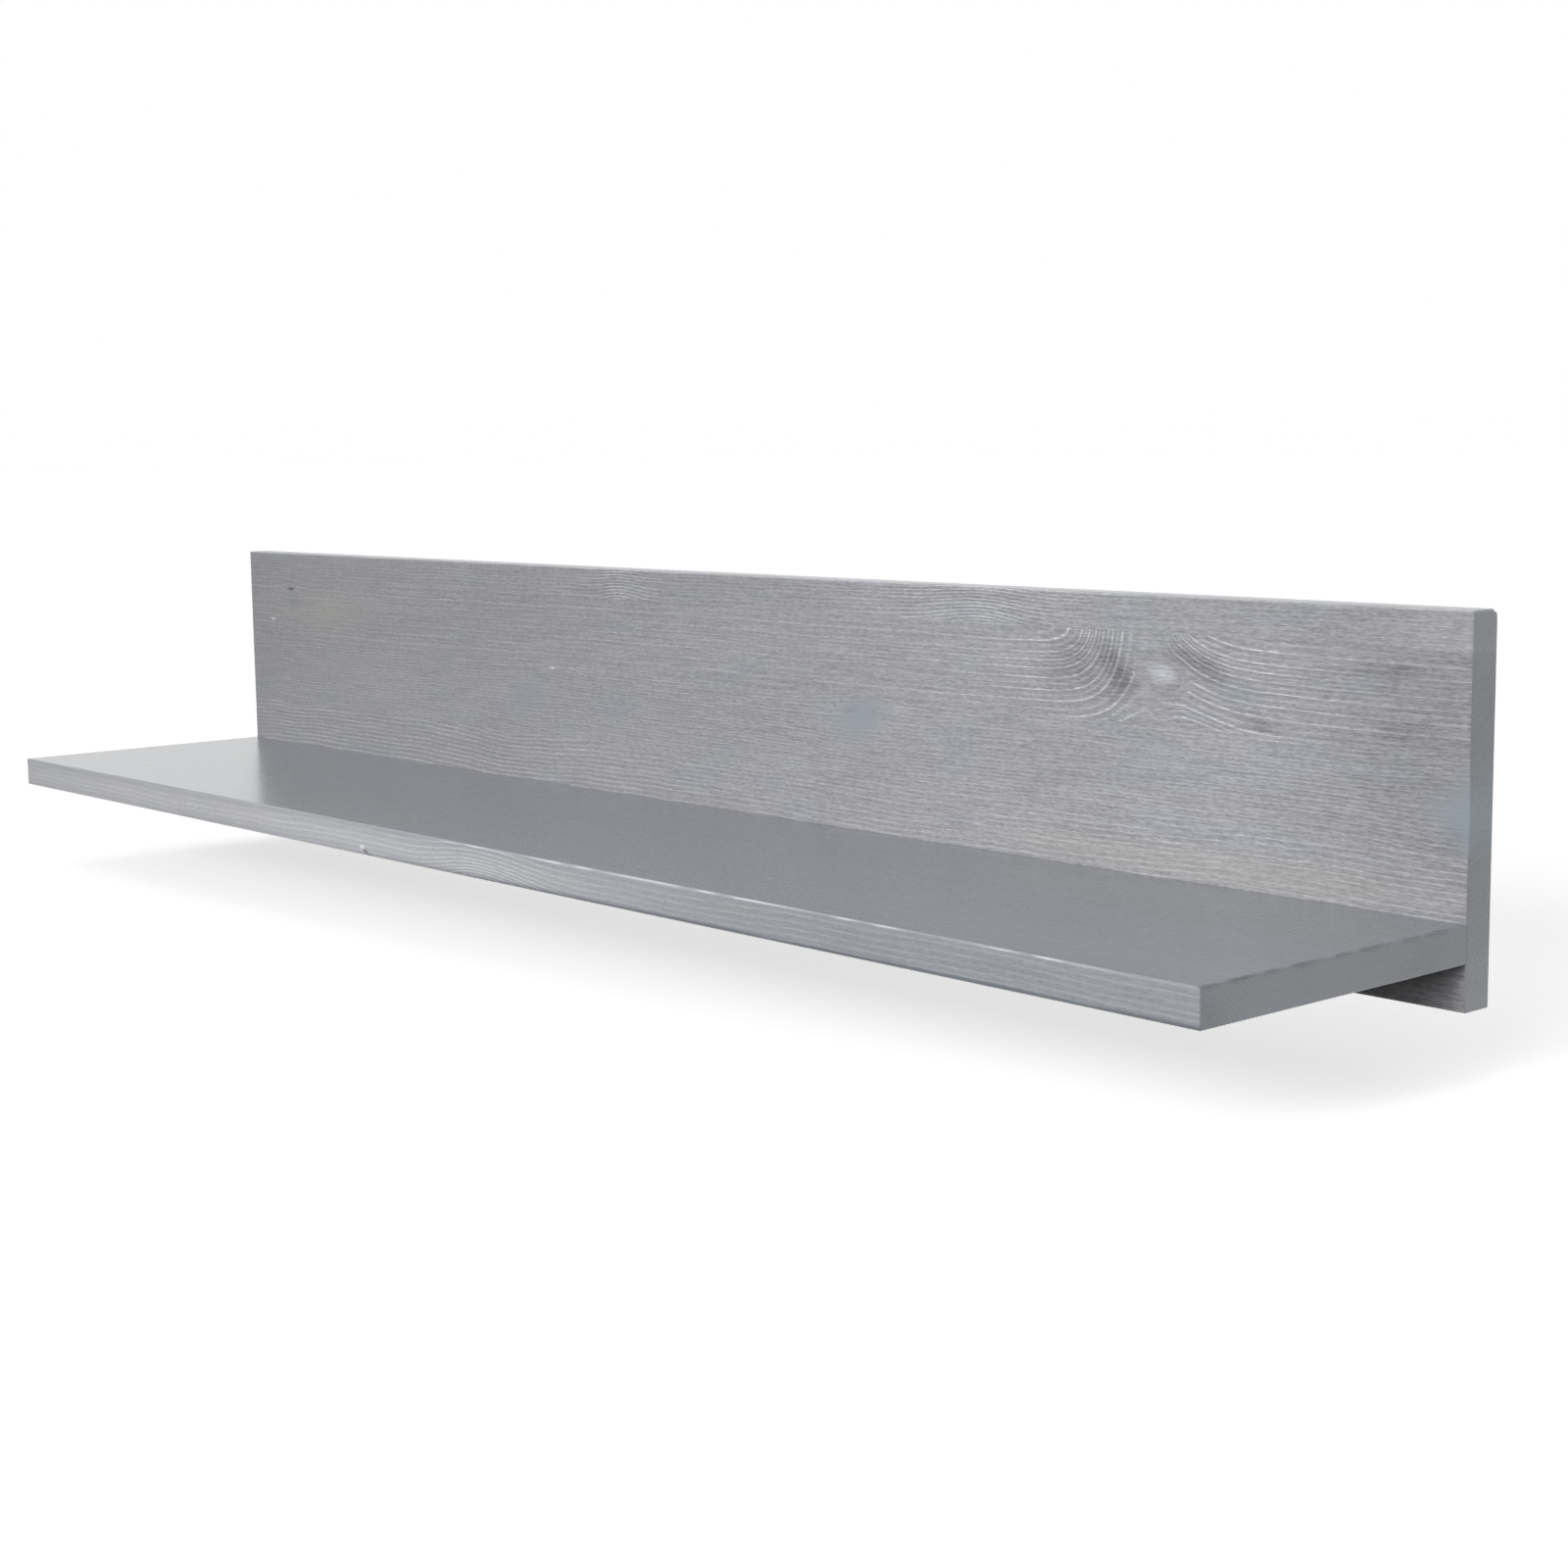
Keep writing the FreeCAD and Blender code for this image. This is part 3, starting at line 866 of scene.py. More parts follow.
# %% [markdown]
# The tone adds up: a start, the slow cloud, the lines, the speckle, the marks and the brush, which
# makes brushed faces paler than the sanded top, whose darker grey is painted shade. The left half
# of the boards was brushed more lightly, so the speckle grows along them. Knots carry little of it
# and sawn ends none. On a sawn end the rings are dark strokes, not pale lines.

# %% Grey pine: tone
# What each thing adds to the tone
TONE = SimpleNamespace(
    start=0.35, cloud=0.12, thin=0.34, broad=0.12, streak=0.7, mark=0.28, brush=0.14, sawn=-0.06
)
STROKES = -0.16
BETWEEN_LINES = 0.06
# What the brush adds to the lines and to the speckle, and what is there without it
LINES_BY_BRUSH, SPECKLE_BY_BRUSH = (0.55, 0.45), (0.4, 0.1)
# The speckle's strength at the left end, and from this far right of the middle on
LIVELY_FROM = 300
LIVELINESS = (0.62, 1.1)


def pine_tone(tree, wood, thin, broad):
    """The tone, from 0 for dark grey to 1 for nearly white."""
    lines = add(tree, "Math", thin, TONE.thin, operation="MULTIPLY")
    lines = add(tree, "Math", broad, TONE.broad, lines, operation="MULTIPLY_ADD")
    lines = add(tree, "Math", lines, BETWEEN_LINES, operation="SUBTRACT")
    lines = add(tree, "Math", lines, wood.bold, operation="MULTIPLY")
    clear = add(tree, "Math", wood.brush, *LINES_BY_BRUSH, operation="MULTIPLY_ADD")
    lines = add(tree, "Math", lines, clear, operation="MULTIPLY")
    streak = add(tree, "Math", wood.fibre, 0.5, operation="SUBTRACT")
    fine = add(tree, "Math", streak, TONE.streak, wood.grit, operation="MULTIPLY_ADD")
    vivid = add(tree, "Math", wood.brush, *SPECKLE_BY_BRUSH, operation="MULTIPLY_ADD")
    along = add(tree, "SeparateXYZ", wood.place)
    lively = add(tree, "MapRange", along, LEFT_END * MM, LIVELY_FROM * MM, *LIVELINESS)
    vivid = add(tree, "Math", vivid, lively, operation="MULTIPLY")
    fine = add(tree, "Math", fine, vivid, lines, operation="MULTIPLY_ADD")
    fine = add(tree, "Math", fine, wood.calm, operation="MULTIPLY")
    whole = add(tree, "Math", wood.sawn, -1.0, 1.0, operation="MULTIPLY_ADD")
    fine = add(tree, "Math", fine, whole, operation="MULTIPLY")

    tone = add(tree, "Math", wood.cloud, TONE.cloud, TONE.start, operation="MULTIPLY_ADD")
    tone = add(tree, "Math", tone, fine, operation="ADD")
    tone = add(tree, "Math", wood.tone, TONE.mark, tone, operation="MULTIPLY_ADD")
    # Brushed faces come out paler than the sanded top, whose darker grey is painted shade
    tone = add(tree, "Math", wood.brush, TONE.brush, tone, operation="MULTIPLY_ADD")
    strokes = add(tree, "Math", thin, wood.sawn, operation="MULTIPLY")
    strokes = add(tree, "Math", strokes, wood.bold, operation="MULTIPLY")
    tone = add(tree, "Math", strokes, STROKES, tone, operation="MULTIPLY_ADD")
    return add(tree, "Math", wood.sawn, TONE.sawn, tone, operation="MULTIPLY_ADD")


# %% [markdown]
# A ramp turns the tone into grey. A tint above 0 mixes in a warm grey and one below 0 a blue
# grey, as do the knots. Sanded faces, where the brush is weak, are cooler than brushed ones.

# %% Grey pine: colour
GREYS = (
    (0.0, "#4C4C50"), (0.25, "#767679"), (0.5, "#959599"), (0.75, "#B2B2B6"), (1.0, "#DCDCE0"),
)
BLUE_GREY = "#8C9AA4"
WARM_GREY = "#A9A79A"
# The shift of a sanded face, the slow drift, and how strongly each thing mixes in its grey
SANDED, DRIFT = 0.6, 0.5
WARM_SHARE, BLUE_SHARE, KNOT_SHARE = 0.5, -0.6, 0.45


def pine_colour(tree, wood, tone):
    """The grey of the tone, mixed with warm or blue grey by the tint."""
    colour = add(tree, "ValToRGB", tone)
    stops = colour.node.color_ramp.elements
    while len(stops) < len(GREYS):
        stops.new(0.5)
    for stop, (position, code) in zip(stops, GREYS):
        stop.position = position
        stop.color = linear(code)

    drift = add(tree, "Math", wood.drift, 0.5, operation="SUBTRACT")
    tint = add(tree, "Math", drift, DRIFT, wood.tint, operation="MULTIPLY_ADD")
    tint = add(tree, "Math", wood.brush, SANDED, tint, operation="MULTIPLY_ADD")
    tint = add(tree, "Math", tint, SANDED, operation="SUBTRACT")
    warm = add(tree, "Math", tint, WARM_SHARE, operation="MULTIPLY", use_clamp=True)
    colour = add(tree, "Mix", warm, colour, linear(WARM_GREY), data_type="RGBA")
    blue = add(tree, "Math", tint, BLUE_SHARE, operation="MULTIPLY", use_clamp=True)
    blue = add(tree, "Math", wood.smooth, KNOT_SHARE, blue, operation="MULTIPLY_ADD")
    return add(tree, "Mix", blue, colour, linear(BLUE_GREY), data_type="RGBA")


# %% [markdown]
# The sanded top has a thin satin coat and a clear sheen; the brushed faces scatter the light, so
# there the coat and most of the gloss go. A fine bump of streaks, specks and ring lines stands
# for what is smaller than the mesh's own relief.

# %% Grey pine: gloss and bump
# Roughness: what the fibre noise adds, the value without it, and what the brush adds
BY_FIBRE, SANDED_ROUGHNESS, BY_BRUSH = 0.1, 0.2, 0.14
# Gloss and coat: what the brush takes off, and the value on a sanded face
GLOSS, COAT = (-0.47, 0.5), (-0.9, 0.9)
COAT_ROUGHNESS, COAT_IOR = 0.24, 1.35
BUMP_DEPTH, SPECK_BUMP, LINE_BUMP = 0.2, 0.9, 0.4


def grey_pine():
    """The boards' material. brush runs from 0, sanded and glossy, to 1, brushed and dull."""
    material = bpy.data.materials.new("grey_stained_pine_brushed")
    tree = new_tree(material)
    wood = read_wood(tree)
    thin, broad = ring_lines(tree, wood)
    colour = pine_colour(tree, wood, pine_tone(tree, wood, thin, broad))
    rough = add(tree, "Math", wood.fibre, BY_FIBRE, SANDED_ROUGHNESS, operation="MULTIPLY_ADD")
    rough = add(tree, "Math", wood.brush, BY_BRUSH, rough, operation="MULTIPLY_ADD")
    gloss = add(tree, "Math", wood.brush, *GLOSS, operation="MULTIPLY_ADD")
    coat = add(tree, "Math", wood.brush, *COAT, operation="MULTIPLY_ADD", use_clamp=True)
    height = add(tree, "Math", wood.speck, SPECK_BUMP, wood.fibre, operation="MULTIPLY_ADD")
    height = add(tree, "Math", thin, LINE_BUMP, height, operation="MULTIPLY_ADD")
    height = add(tree, "Math", height, wood.calm, operation="MULTIPLY")
    height = add(tree, "Math", height, wood.brush, operation="MULTIPLY")
    distance = BUMP_DEPTH * MM
    bump = add(tree, "Bump", to={"Height": height, "Strength": 1.0, "Distance": distance})
    set_surface(tree, {
        "Base Color": colour,
        "Roughness": rough,
        "Specular IOR Level": gloss,
        "Coat Weight": coat,
        "Coat Roughness": COAT_ROUGHNESS,
        "Coat IOR": COAT_IOR,
        "Normal": bump,
    })
    return material


pine = grey_pine()
print(pine.name, "has", len(pine.node_tree.nodes), "nodes")

# %% [markdown]
# ## The nine staves
#
# Outer corners are eased by a millimetre, glued ones stay sharp so that the joint closes. Only
# the faces that show get close-set points: the brush marks need them, the hidden faces don't.

# %% Lay out the staves
LONG_EASING = 1.0
# The bevel along the top rear edge: its size on the top and on the rear face, and its steps
REAR_BEVEL = (3.6, 2.1, 1)
FINE, MIDDLING, COARSE = 0.45, 0.6, 3.0
# Reaches of the closer rows: shares of a bend's and a knot's size, and a small mark's margin
BEND_ROWS, KNOT_ROWS, MARK_MARGIN = 0.8, 1.6, 2
WIDEST_REACH = 75
SMALL_MARK = 6


def busy_places(one):
    """Where the rings turn quickly along a stave: each feature's place and reach."""
    bends = [(b.x, (b.left + b.right) * BEND_ROWS) for b in one.spikes + one.arches]
    bends = [(x, min(reach, WIDEST_REACH)) for x, reach in bends]
    knots = [(k.x, k.along * KNOT_ROWS) for k in one.knots + one.cores]
    small = [mark for mark in one.marks if mark.along < SMALL_MARK]
    return bends + knots + [(mark.x, mark.along + MARK_MARGIN) for mark in small]


def layout(name, axis_v, axis_w, sign_w, **shape):
    """All that it takes to build a stave: where it lies, its section and its growth."""
    low, high = node_box(name)
    origin = low.copy()
    origin[axis_w] = low[axis_w] if sign_w > 0 else high[axis_w]
    size = high - low
    return SimpleNamespace(
        axis_v=axis_v, axis_w=axis_w, sign_w=sign_w, origin=origin,
        width=size[axis_v], thickness=size[axis_w],
        grain=GRAINS[name], busy=busy_places(GRAINS[name]), **shape,
    )


def back_stave(name):
    """A stave on the wall: across is up, deep is towards the wall."""
    is_top, is_bottom = name.endswith("top"), name.endswith("bottom")
    return layout(
        name, axis_v=2, axis_w=1, sign_w=1,
        corners=[
            eased(LONG_EASING) if is_bottom else SHARP,
            eased(LONG_EASING) if is_top else SHARP,
            REAR_BEVEL if is_top else SHARP,
            SHARP,
        ],
        steps=(FINE, MIDDLING if is_top else COARSE, COARSE, COARSE),
        free=(1, is_top, 1, is_bottom),
        brushed=(1, 0.25 if is_top else 0, 0, 0),
    )


def shelf_stave(name):
    """A stave of the shelf: across is towards the wall, deep is down."""
    is_front = name.endswith("front")
    front_corner = eased(LONG_EASING) if is_front else SHARP
    return layout(
        name, axis_v=1, axis_w=2, sign_w=-1,
        corners=[front_corner, SHARP, SHARP, front_corner],
        steps=(MIDDLING, COARSE, COARSE, FINE if is_front else COARSE),
        free=(1, 0, 1, is_front),
        brushed=(0.1, 0, 0, 0.45 if is_front else 0),
    )


# %% [markdown]
# The staves aren't plain blocks: screws and dowels run through them, screw heads are sunk in the
# rear face, and the keyhole plates lie in routed recesses with a pocket behind for the wall
# screw's head. A Boolean modifier cuts these from simple closed tools, as a drill and a router
# would, and is applied before the ring numbers are stored.

# %% Tools for the drilled and routed places
SIDES, LEVELS = ("left", "right"), ("upper", "lower")
JOINT_SCREWS = [f"joint_screw_{number}" for number in range(1, 5)]
DOWELS = [f"joint_dowel_{number}" for number in range(1, 4)]
PLATES = [f"hanger_plate_{side}" for side in SIDES]
PLATE_SCREWS = [f"hanger_screw_{side}_{level}" for side in SIDES for level in LEVELS]


def turned_points(places, x, z, columns):
    """Rows of a turned shape along -Y: places lists (radius, depth below the rear face)."""
    angle = np.arange(columns) / columns * 2 * pi
    radius, depth = np.array(places, float).T
    points = np.empty((len(radius), columns, 3))
    points[..., 0] = x + radius[:, None] * np.cos(angle)
    points[..., 1] = -depth[:, None]
    points[..., 2] = z - radius[:, None] * np.sin(angle)
    return points


def slot_points(radius, x, low, high, top, floor, columns):
    """Two rows of an upright slot with round ends, between two depths."""
    points = turned_points([(radius, top), (radius, floor)], x, 0, columns)
    points[..., 2] += np.where(points[..., 2] > 0, high, low)
    return points


def drilled(names, places):
    """The same turned tool at each named piece's axis."""
    for name in names:
        low, high = node_box(name)
        x, _, z = (low + high) / 2
        yield turned_points(places, x, z, columns=40)


def carve(mesh, name, tools):
    """The mesh with all the tools cut out of it."""
    base = new_object(name + "_uncut", mesh)
    helpers = [base]
    for number, points in enumerate(tools):
        tool_name = f"{name}_tool_{number}"
        tool = new_object(tool_name, grid_mesh(tool_name, points))
        helpers.append(tool)
        cut = base.modifiers.new("cut", "BOOLEAN")
        cut.object = tool
        cut.operation = "DIFFERENCE"
        cut.solver = "MANIFOLD"
    graph = bpy.context.evaluated_depsgraph_get()
    carved = bpy.data.meshes.new_from_object(base.evaluated_get(graph))
    carved.materials.clear()
    for helper in helpers:
        bpy.data.objects.remove(helper)
    return carved


# %% [markdown]
# Sizes of the fasteners and their holes: radii in millimetres, and depths below the rear face. A
# tool always starts and ends past the faces that it opens, so that no two faces coincide.

# %% Holes, recesses and pockets
SLACK = 0.1
PAST = 1
HEAD, SHANK, SCREW_HOLE = 4.5, 2.25, 51
PLATE_HEAD, PLATE_SHANK, PLATE_SCREW_HOLE = 2.6, 1.5, 14
DOWEL, DOWEL_FROM, DOWEL_TO = 4, 5, 37
PLATE_SLACK = 0.2
ENTRY, SLOT = 5, 2.4
TRAVEL = 5.5
POCKET, POCKET_DEPTH = 6, 9


def countersunk(head, shank, sunk, depth):
    """A mouth, a cone of a right angle and a bore, from a head sunk to some depth."""
    mouth, bore = head + SLACK, shank + SLACK
    return [(mouth, -PAST), (mouth, sunk), (bore, sunk + mouth - bore), (bore, depth)]


def bored(radius, top, floor):
    """A plain bore between two depths, with slack round what goes in."""
    return [(radius + SLACK, top), (radius + SLACK, floor)]


def lower_stave_tools():
    """Countersunk holes for the joint's screws, and bores for the dowels."""
    yield from drilled(JOINT_SCREWS, countersunk(HEAD, SHANK, SLACK, THICKNESS + PAST))
    yield from drilled(DOWELS, bored(DOWEL, DOWEL_FROM, THICKNESS + PAST))


def inner_stave_tools():
    """The holes that go on into the shelf's rear edge."""
    yield from drilled(JOINT_SCREWS, bored(SHANK, THICKNESS - PAST, SCREW_HOLE))
    yield from drilled(DOWELS, bored(DOWEL, THICKNESS - PAST, DOWEL_TO))


def plate_outline(name):
    """A plate's middle, the radius of its round ends, where they are centred, and its thickness."""
    low, high = node_box(name)
    radius = (high[0] - low[0]) / 2
    return (low[0] + high[0]) / 2, radius, low[2] + radius, high[2] - radius, high[1] - low[1]


def upper_stave_tools():
    """A recess and a deeper pocket for each keyhole plate, and holes for its screws."""
    for name in PLATES:
        x, radius, low, high, sheet = plate_outline(name)
        yield slot_points(radius + PLATE_SLACK, x, low, high, -PAST, sheet, columns=64)
        yield slot_points(POCKET, x, -TRAVEL, TRAVEL, -PAST / 2, POCKET_DEPTH, columns=48)
    yield from drilled(PLATE_SCREWS, bored(PLATE_SHANK, PAST / 2, PLATE_SCREW_HOLE))


# %% [markdown]
# Now each stave is computed, carved where it has holes, given its numbers, and put in place of
# its plain solid.

# %% Build the staves
TOOLS = {
    "back_stave_lower": lower_stave_tools,
    "back_stave_upper": upper_stave_tools,
    "shelf_stave_inner": inner_stave_tools,
}

for name in GRAINS:
    stave = (back_stave if name.startswith("back") else shelf_stave)(name)
    mesh = stave_mesh(stave, name + "_brushed")
    if name in TOOLS:
        mesh = carve(mesh, name, TOOLS[name]())
    dress(stave, mesh)
    new_piece(name + "_brushed", mesh, name, pine)
    triangles = sum(len(face.vertices) - 2 for face in mesh.polygons)
    print(name, len(mesh.vertices), "vertices,", triangles, "triangles")

# %% [markdown]
# ## Screws
#
# A screw is a turned shape whose rows run from the middle of its head to its point. Two things
# are added to the plain outline: the thread, a ridge that goes once round per pitch, and the
# cross in the head. Both are formulas of the same two grid directions, so one grid makes it all.

# %% A screw as one grid
FACE_ROWS, ROWS_PER_PITCH = 14, 8
# The thread's core and the point's length by the shank's radius, and the plain part of the length
CORE, POINT, PLAIN = 0.68, 2.6, 0.35
# The rows stop this far short of the tip
BLUNT = 0.3
THREAD_NARROW = 1.6
# The cross by the head's radius: where its arms and its walls are full and end, and its depth
ARM_FULL, ARM_END, WALL_FULL, WALL_END, CROSS_DEPTH = 0.30, 0.62, 0.06, 0.17, 0.5


def cross_recess(across, up, size):
    """How deep the cross is: two crossed troughs with sloping walls, 0 outside them."""
    arms = []
    for along, aside in ((across, up), (up, across)):
        length = fade(np.abs(along), size * ARM_FULL, size * ARM_END)
        width = fade(np.abs(aside), size * WALL_FULL, size * WALL_END)
        arms.append(length * width)
    return np.maximum(*arms) * size * CROSS_DEPTH


def screw_points(name, head, shank, pitch, columns):
    """Rows (radius, depth) of head, cone, neck, thread and point, then thread and cross on top."""
    low, high = node_box(name)
    length = high[1] - low[1]
    core = shank * CORE
    neck = head - core + 0.2
    plain = length * PLAIN
    thread = np.arange(plain, length - BLUNT, pitch / ROWS_PER_PITCH)
    taper = (length - thread) / (shank * POINT)
    face = np.linspace(0.02, 0.97, FACE_ROWS) * head
    radius = np.concatenate([face, [head, head, core, core], core * np.clip(taper, 0.04, 1)])
    depth = np.concatenate([np.zeros(FACE_ROWS), [0.05, 0.25, neck, plain - 0.1], thread])
    angle = np.arange(columns) / columns * 2 * pi
    radius, depth = radius[:, None], depth[:, None]
    grip = fade(depth, plain + pitch, plain) * np.clip((length - depth) / (shank * POINT), 0, 1)
    turns = angle / (2 * pi) - depth / pitch
    radius = radius + (shank - core) * grip * ridge(turns, THREAD_NARROW)
    across, up = radius * np.cos(angle), -radius * np.sin(angle)
    on_face = np.arange(len(radius))[:, None] < FACE_ROWS
    depth = depth + on_face * cross_recess(across, up, head)
    middle = (low + high) / 2
    return np.stack([middle[0] + across, high[1] - depth + 0 * across, middle[2] + up], axis=-1)


# %% [markdown]
# Fasteners are zinc plated: a bright, slightly blue grey metal whose crystals reflect unevenly. A
# cell texture stands for the crystals, and only moves the roughness and the brightness a little.

# %% Zinc plate
# A crystal's width in millimetres
CRYSTAL = 0.9
# What the crystals add to the roughness, and the value without them
ZINC_ROUGHNESS = (0.12, 0.28)


def zinc_plate():
    """The material of the screws and plates."""
    material = bpy.data.materials.new("zinc_plated_steel")
    tree = new_tree(material)
    place = add(tree, "TexCoord").node.outputs["Object"]
    cells = add(tree, "TexVoronoi", to={"Vector": place, "Scale": 1 / (CRYSTAL * MM)})
    cells = add(tree, "SeparateColor", cells.node.outputs["Color"])
    tint = add(tree, "Mix", cells, linear("#B9BDC2"), linear("#CDD0D3"), data_type="RGBA")
    rough = add(tree, "Math", cells, *ZINC_ROUGHNESS, operation="MULTIPLY_ADD")
    set_surface(tree, {"Base Color": tint, "Roughness": rough, "Metallic": 1})
    return material


zinc = zinc_plate()
print(zinc.name, "has", len(zinc.node_tree.nodes), "nodes")

# %% Screws
SCREW_SHARP = 50


def screws(names, *sizes):
    """A threaded screw for each name, of one head, shank, pitch and number of columns."""
    for name in names:
        mesh = grid_mesh(name + "_threaded", screw_points(name, *sizes))
        smooth_faces(mesh, SCREW_SHARP)
        new_piece(name + "_threaded", mesh, name, zinc)
    print(len(names), "screws with heads", 2 * sizes[0], "mm across")


screws(JOINT_SCREWS, HEAD, SHANK, 2.0, 48)
screws(PLATE_SCREWS, PLATE_HEAD, PLATE_SHANK, 1.3, 32)

# %% [markdown]
# ## Keyhole plates
#
# A plate is stamped from sheet: a slot with round ends gives its outline, and the keyhole and the
# two screw holes are punched out with the same tools as the wood. A Bevel modifier then rounds
# every edge a little, so that it catches the light as stamped sheet does.

# %% Keyhole plates
STAMPED_EDGE = 0.12
PLATE_SHARP, EDGE_FROM = 30, 40

for name, side in zip(PLATES, SIDES):
    x, radius, low, high, sheet = plate_outline(name)
    rear = -node_box(name)[1][1]
    blank = slot_points(radius, x, low, high, rear, rear + sheet, columns=64)
    own_screws = [screw for screw in PLATE_SCREWS if side in screw]
    punches = [
        turned_points([(ENTRY, -PAST), (ENTRY, sheet + PAST)], x, -TRAVEL, columns=48),
        slot_points(SLOT, x, -TRAVEL, TRAVEL, -1.5 * PAST, sheet + 1.5 * PAST, columns=32),
        *drilled(own_screws, countersunk(PLATE_HEAD, PLATE_SHANK, SLACK, sheet + PAST)),
    ]
    mesh = carve(grid_mesh(name + "_blank", blank), name, punches)
    mesh.name = name + "_stamped"
    smooth_faces(mesh, PLATE_SHARP)
    piece = new_piece(name + "_stamped", mesh, name, zinc)
    bevel = piece.modifiers.new("edges", "BEVEL")
    bevel.width = STAMPED_EDGE * MM
    bevel.segments = 2
    bevel.limit_method = "ANGLE"
    bevel.angle_limit = radians(EDGE_FROM)
    print(name, len(mesh.polygons), "faces before the bevel")

# %% [markdown]
# ## Dowels
#
# Beech rod is rolled with flutes so that glue and air can get past, and its ends have a small
# chamfer. The wood is bare: pale brown with short dark flecks along the grain.

# %% Fluted dowels
FLUTES, COLUMNS_PER_FLUTE = 20, 6
FLUTE_DEPTH, FLUTE_STOP = 0.22, 0.2
# The rows at each end of a dowel: radius and depth
DOWEL_END = ((0.4, 0), (2, 0), (3.6, 0), (DOWEL, 0.4), (DOWEL, 1.5))


def dowel_points(name):
    """A turned rod, less a flute depth times a squared wave round it, except at its ends."""
    low, high = node_box(name)
    x, _, z = (low + high) / 2
    length = high[1] - low[1]
    radius, depth = np.array(DOWEL_END, float).T
    radius = np.concatenate([radius, [DOWEL], radius[::-1]])[:, None]
    depth = np.concatenate([depth, [length / 2], length - depth[::-1]])[:, None]
    columns = FLUTES * COLUMNS_PER_FLUTE
    angle = np.arange(columns) / columns * 2 * pi
    fluted = np.abs(depth - length / 2) < length / 2 - FLUTE_STOP
    radius = radius - FLUTE_DEPTH * fluted * (0.5 - 0.5 * np.cos(angle * FLUTES)) ** 2
    across, up = radius * np.cos(angle), -radius * np.sin(angle)
    return np.stack([x + across, high[1] - depth + 0 * radius, z + up], axis=-1)


# %% Bare beech
DOWEL_SHARP = 40
# A fleck's width and length in millimetres, and between which noise values it darkens
FLECK, FLECK_LENGTH = 0.5, 4
FLECK_FROM, FLECK_TO = 0.45, 0.7
BEECH_ROUGHNESS = 0.6


def bare_beech():
    """The material of the dowels."""
    material = bpy.data.materials.new("bare_beech")
    tree = new_tree(material)
    place = add(tree, "TexCoord").node.outputs["Object"]
    scale = tuple(1 / (size * MM) for size in (FLECK, FLECK_LENGTH, FLECK))
    place = add(tree, "Mapping", to={"Vector": place, "Scale": scale})
    fleck = add(tree, "TexNoise", to={"Vector": place, "Scale": 1.0, "Detail": 2.0})
    fleck = add(tree, "MapRange", fleck, FLECK_FROM, FLECK_TO)
    colour = add(tree, "Mix", fleck, linear("#D8B68A"), linear("#B98F62"), data_type="RGBA")
    set_surface(tree, {"Base Color": colour, "Roughness": BEECH_ROUGHNESS})
    return material


beech = bare_beech()
for name in DOWELS:
    mesh = grid_mesh(name + "_fluted", dowel_points(name))
    smooth_faces(mesh, DOWEL_SHARP)
    new_piece(name + "_fluted", mesh, name, beech)
print(len(DOWELS), "dowels")

# %% [markdown]
# ## Camera
#
# The camera stands to the right of the shelf and a little above it. Its place, turn and lens were
# worked out from the corners of the boards in the photograph.

# %% Camera
# The place in metres, the turn in degrees and the lens in millimetres
CAMERA_PLACE = (1.14855, -0.96224, 0.11657)
CAMERA_TURN = (82.2985, 0.6911, 48.6602)
CAMERA_LENS = 58.1

camera = new_object("camera", bpy.data.cameras.new("camera"))
camera.location = CAMERA_PLACE
camera.rotation_euler = [radians(angle) for angle in CAMERA_TURN]
camera.data.lens = CAMERA_LENS
bpy.context.scene.camera = camera
print("camera", round(camera.location.length, 2), "m from the middle of the wall face")

# %% [markdown]
# ## Light and floor
#
# The light is that of a pale studio. Sun lamps are even over the whole floor, and wide ones cast
# soft shadows: one from the front lights the upright faces, one from the right the sawn ends, one
# from high in front the shelf's top, and one from behind the rear face, for views from there. A
# square lamp near the front right makes that part of the boards a little brighter.

# %% Lamps
# The square lamp, in metres: where it stands, what it points at and how wide it is
SIDE_PLACE, SIDE_AIM = (0.8, -1.3, 0.35), (0.25, 0, 0)
SIDE_SIZE, SIDE_WATTS = 0.8, 12


def sun(name, elevation, azimuth, spread, strength):
    """A wide sun: azimuth 0 shines from the front, 90 from the right. Strength 1 is full white."""
    lamp = bpy.data.lights.new(name, "SUN")
    lamp.angle = radians(spread)
    lamp.energy = strength * pi
    new_object(name, lamp).rotation_euler = (radians(90 - elevation), 0, radians(azimuth))


sun("key", elevation=21, azimuth=0, spread=20, strength=0.42)
sun("right", elevation=8, azimuth=105, spread=24, strength=0.2)
sun("top", elevation=60, azimuth=15, spread=40, strength=0.14)
sun("rear", elevation=4, azimuth=175, spread=24, strength=0.6)

lamp = bpy.data.lights.new("side", "AREA")
lamp.size = SIDE_SIZE
lamp.energy = SIDE_WATTS
side_lamp = new_object("side", lamp)
side_lamp.location = SIDE_PLACE
aim = Vector(SIDE_AIM) - side_lamp.location
side_lamp.rotation_euler = aim.to_track_quat("-Z", "Y").to_euler()
print(len(bpy.data.lights), "lamps")

# %% [markdown]
# The floor and the world are white where the camera or a reflection sees them, and weaker as
# light: Light Path tells the kinds of ray apart, and a ray that has already left a dull surface
# counts as light. The floor is lit, so it keeps the shadow, and a steady glow lifts it to white
# where nothing shades it. From below, the floor is clear.

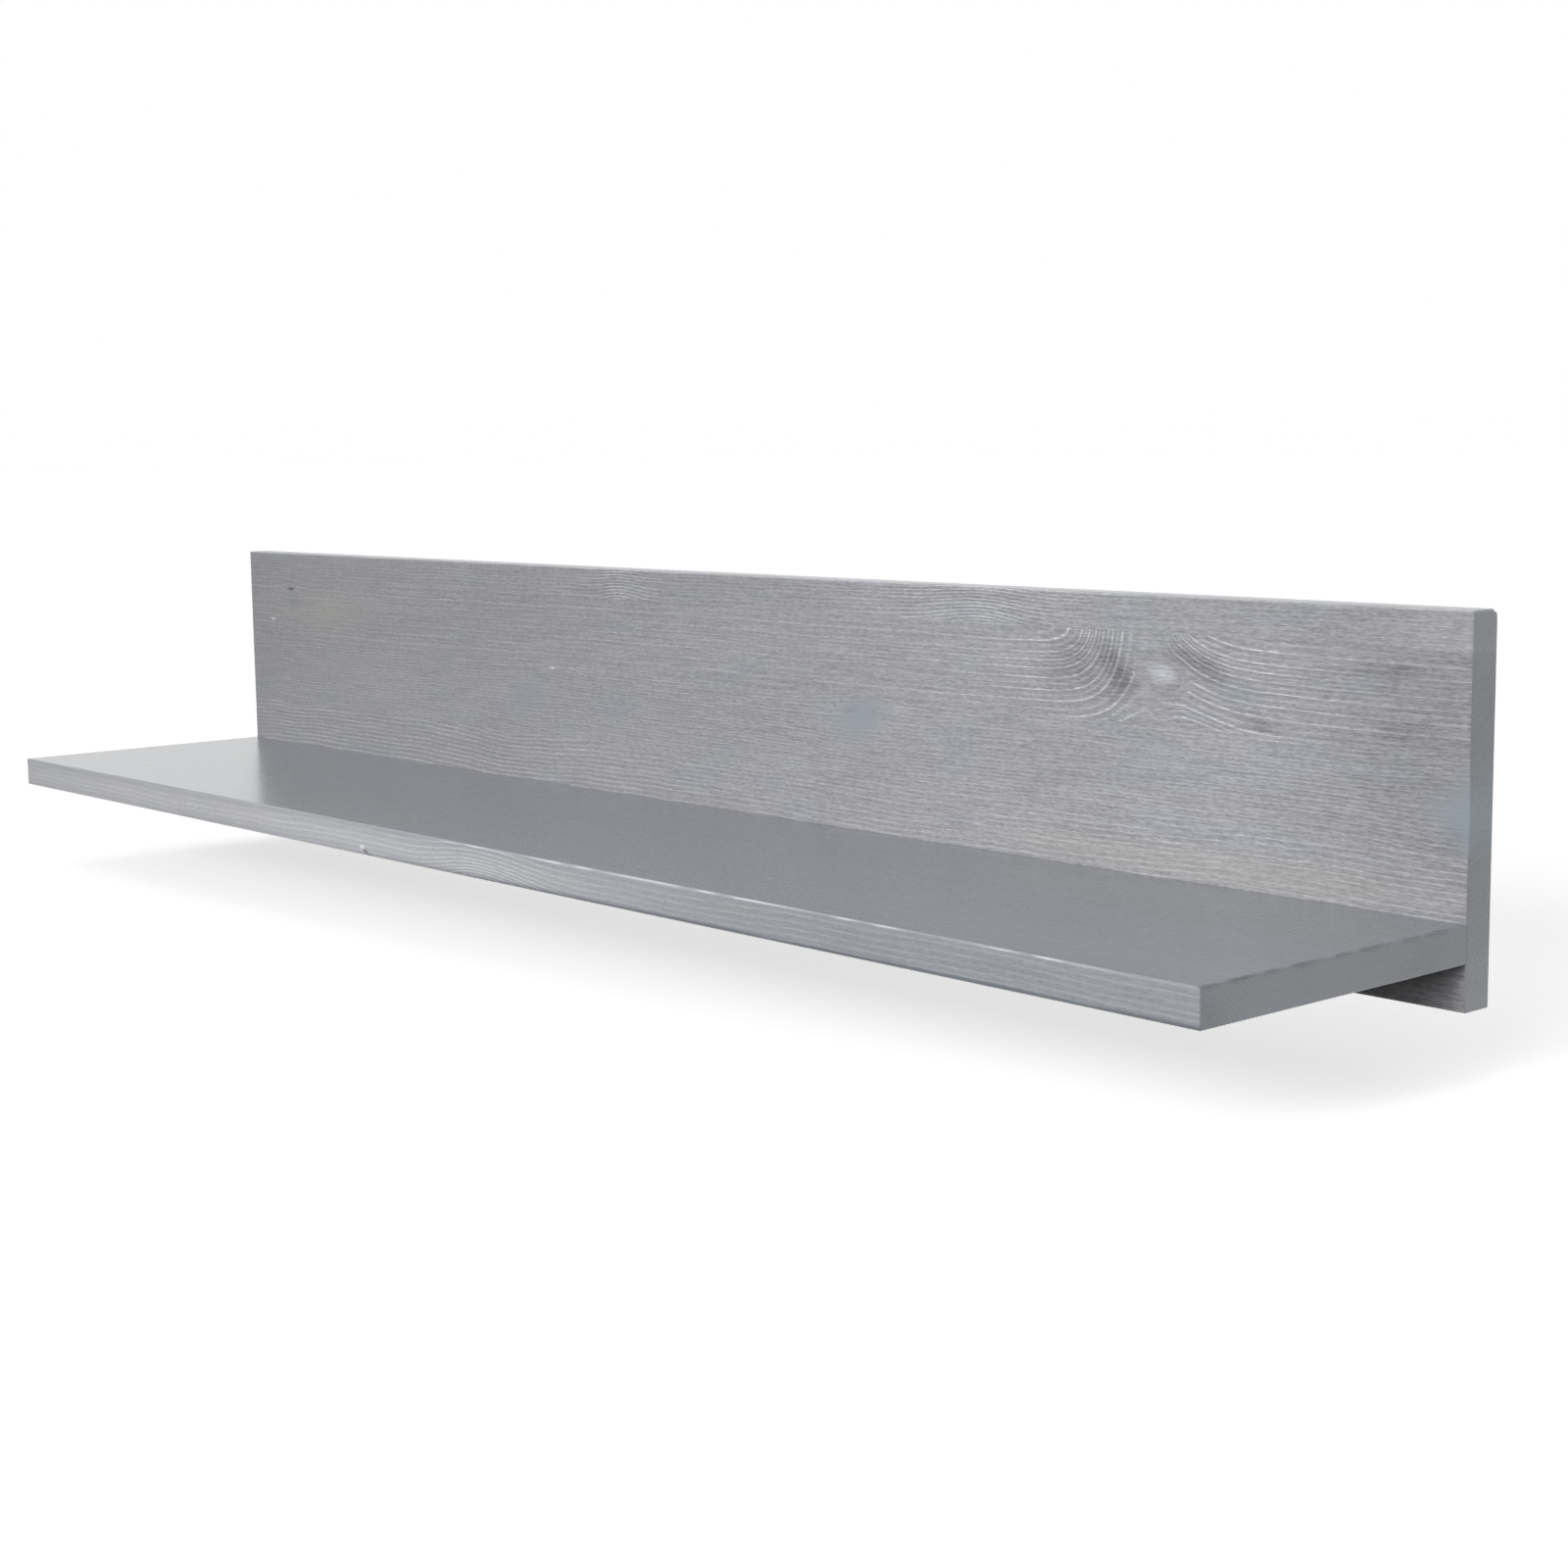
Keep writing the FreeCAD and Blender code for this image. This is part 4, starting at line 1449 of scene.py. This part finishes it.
# %% Floor
# How far below the boards it lies in millimetres, and how far out it goes in metres
FLOOR_DROP, FLOOR_REACH = 38, 40
FLOOR_GLOW = 0.575
# The floor's grey as light for the object, and as the camera sees it
FLOOR_GREYS = (linear("#404040"), linear("#F4F4F4"))
WHITE = (1, 1, 1, 1)


def seen_ray(tree):
    """1 for rays from the camera and for the reflections and refractions that it sees, else 0."""
    path = add(tree, "LightPath").node.outputs
    seen = add(tree, "Math", path["Is Camera Ray"], path["Is Glossy Ray"], operation="MAXIMUM")
    seen = add(tree, "Math", seen, path["Is Transmission Ray"], operation="MAXIMUM")
    straight = add(tree, "Math", 1.0, path["Diffuse Depth"], operation="SUBTRACT", use_clamp=True)
    return add(tree, "Math", seen, straight, operation="MULTIPLY")


level = cad_box[0][2] - FLOOR_DROP * MM
sides = np.array([(-1, -1), (1, -1), (1, 1), (-1, 1)]) * FLOOR_REACH
floor_mesh = bpy.data.meshes.new("floor")
floor_mesh.from_pydata([(x, y, level) for x, y in sides], [], [(0, 1, 2, 3)])
floor = new_object("floor", floor_mesh)

material = bpy.data.materials.new("pale_floor")
tree = new_tree(material)
seen = seen_ray(tree)
below = add(tree, "NewGeometry").node.outputs["Backfacing"]
set_surface(tree, {
    "Base Color": add(tree, "Mix", seen, *FLOOR_GREYS, data_type="RGBA"),
    "Roughness": 1,
    "Specular IOR Level": 0,
    "Emission Color": WHITE,
    "Emission Strength": add(tree, "Math", seen, FLOOR_GLOW, operation="MULTIPLY"),
    "Alpha": add(tree, "Math", 1.0, below, operation="SUBTRACT"),
})
floor_mesh.materials.append(material)
print("floor at", round(level / MM), "mm")

# %% World
WORLD_LIGHT = 0.14

world = bpy.data.worlds.new("studio")
bpy.context.scene.world = world
tree = new_tree(world)
seen = seen_ray(tree)
strength = add(tree, "Math", seen, 1 - WORLD_LIGHT, WORLD_LIGHT, operation="MULTIPLY_ADD")
set_surface(tree, {"Color": WHITE, "Strength": strength}, shader="Background")
bpy.context.scene.view_settings.view_transform = "Standard"
print("world light", WORLD_LIGHT)

# %% Measure and finish
print("packed box", cad_box)
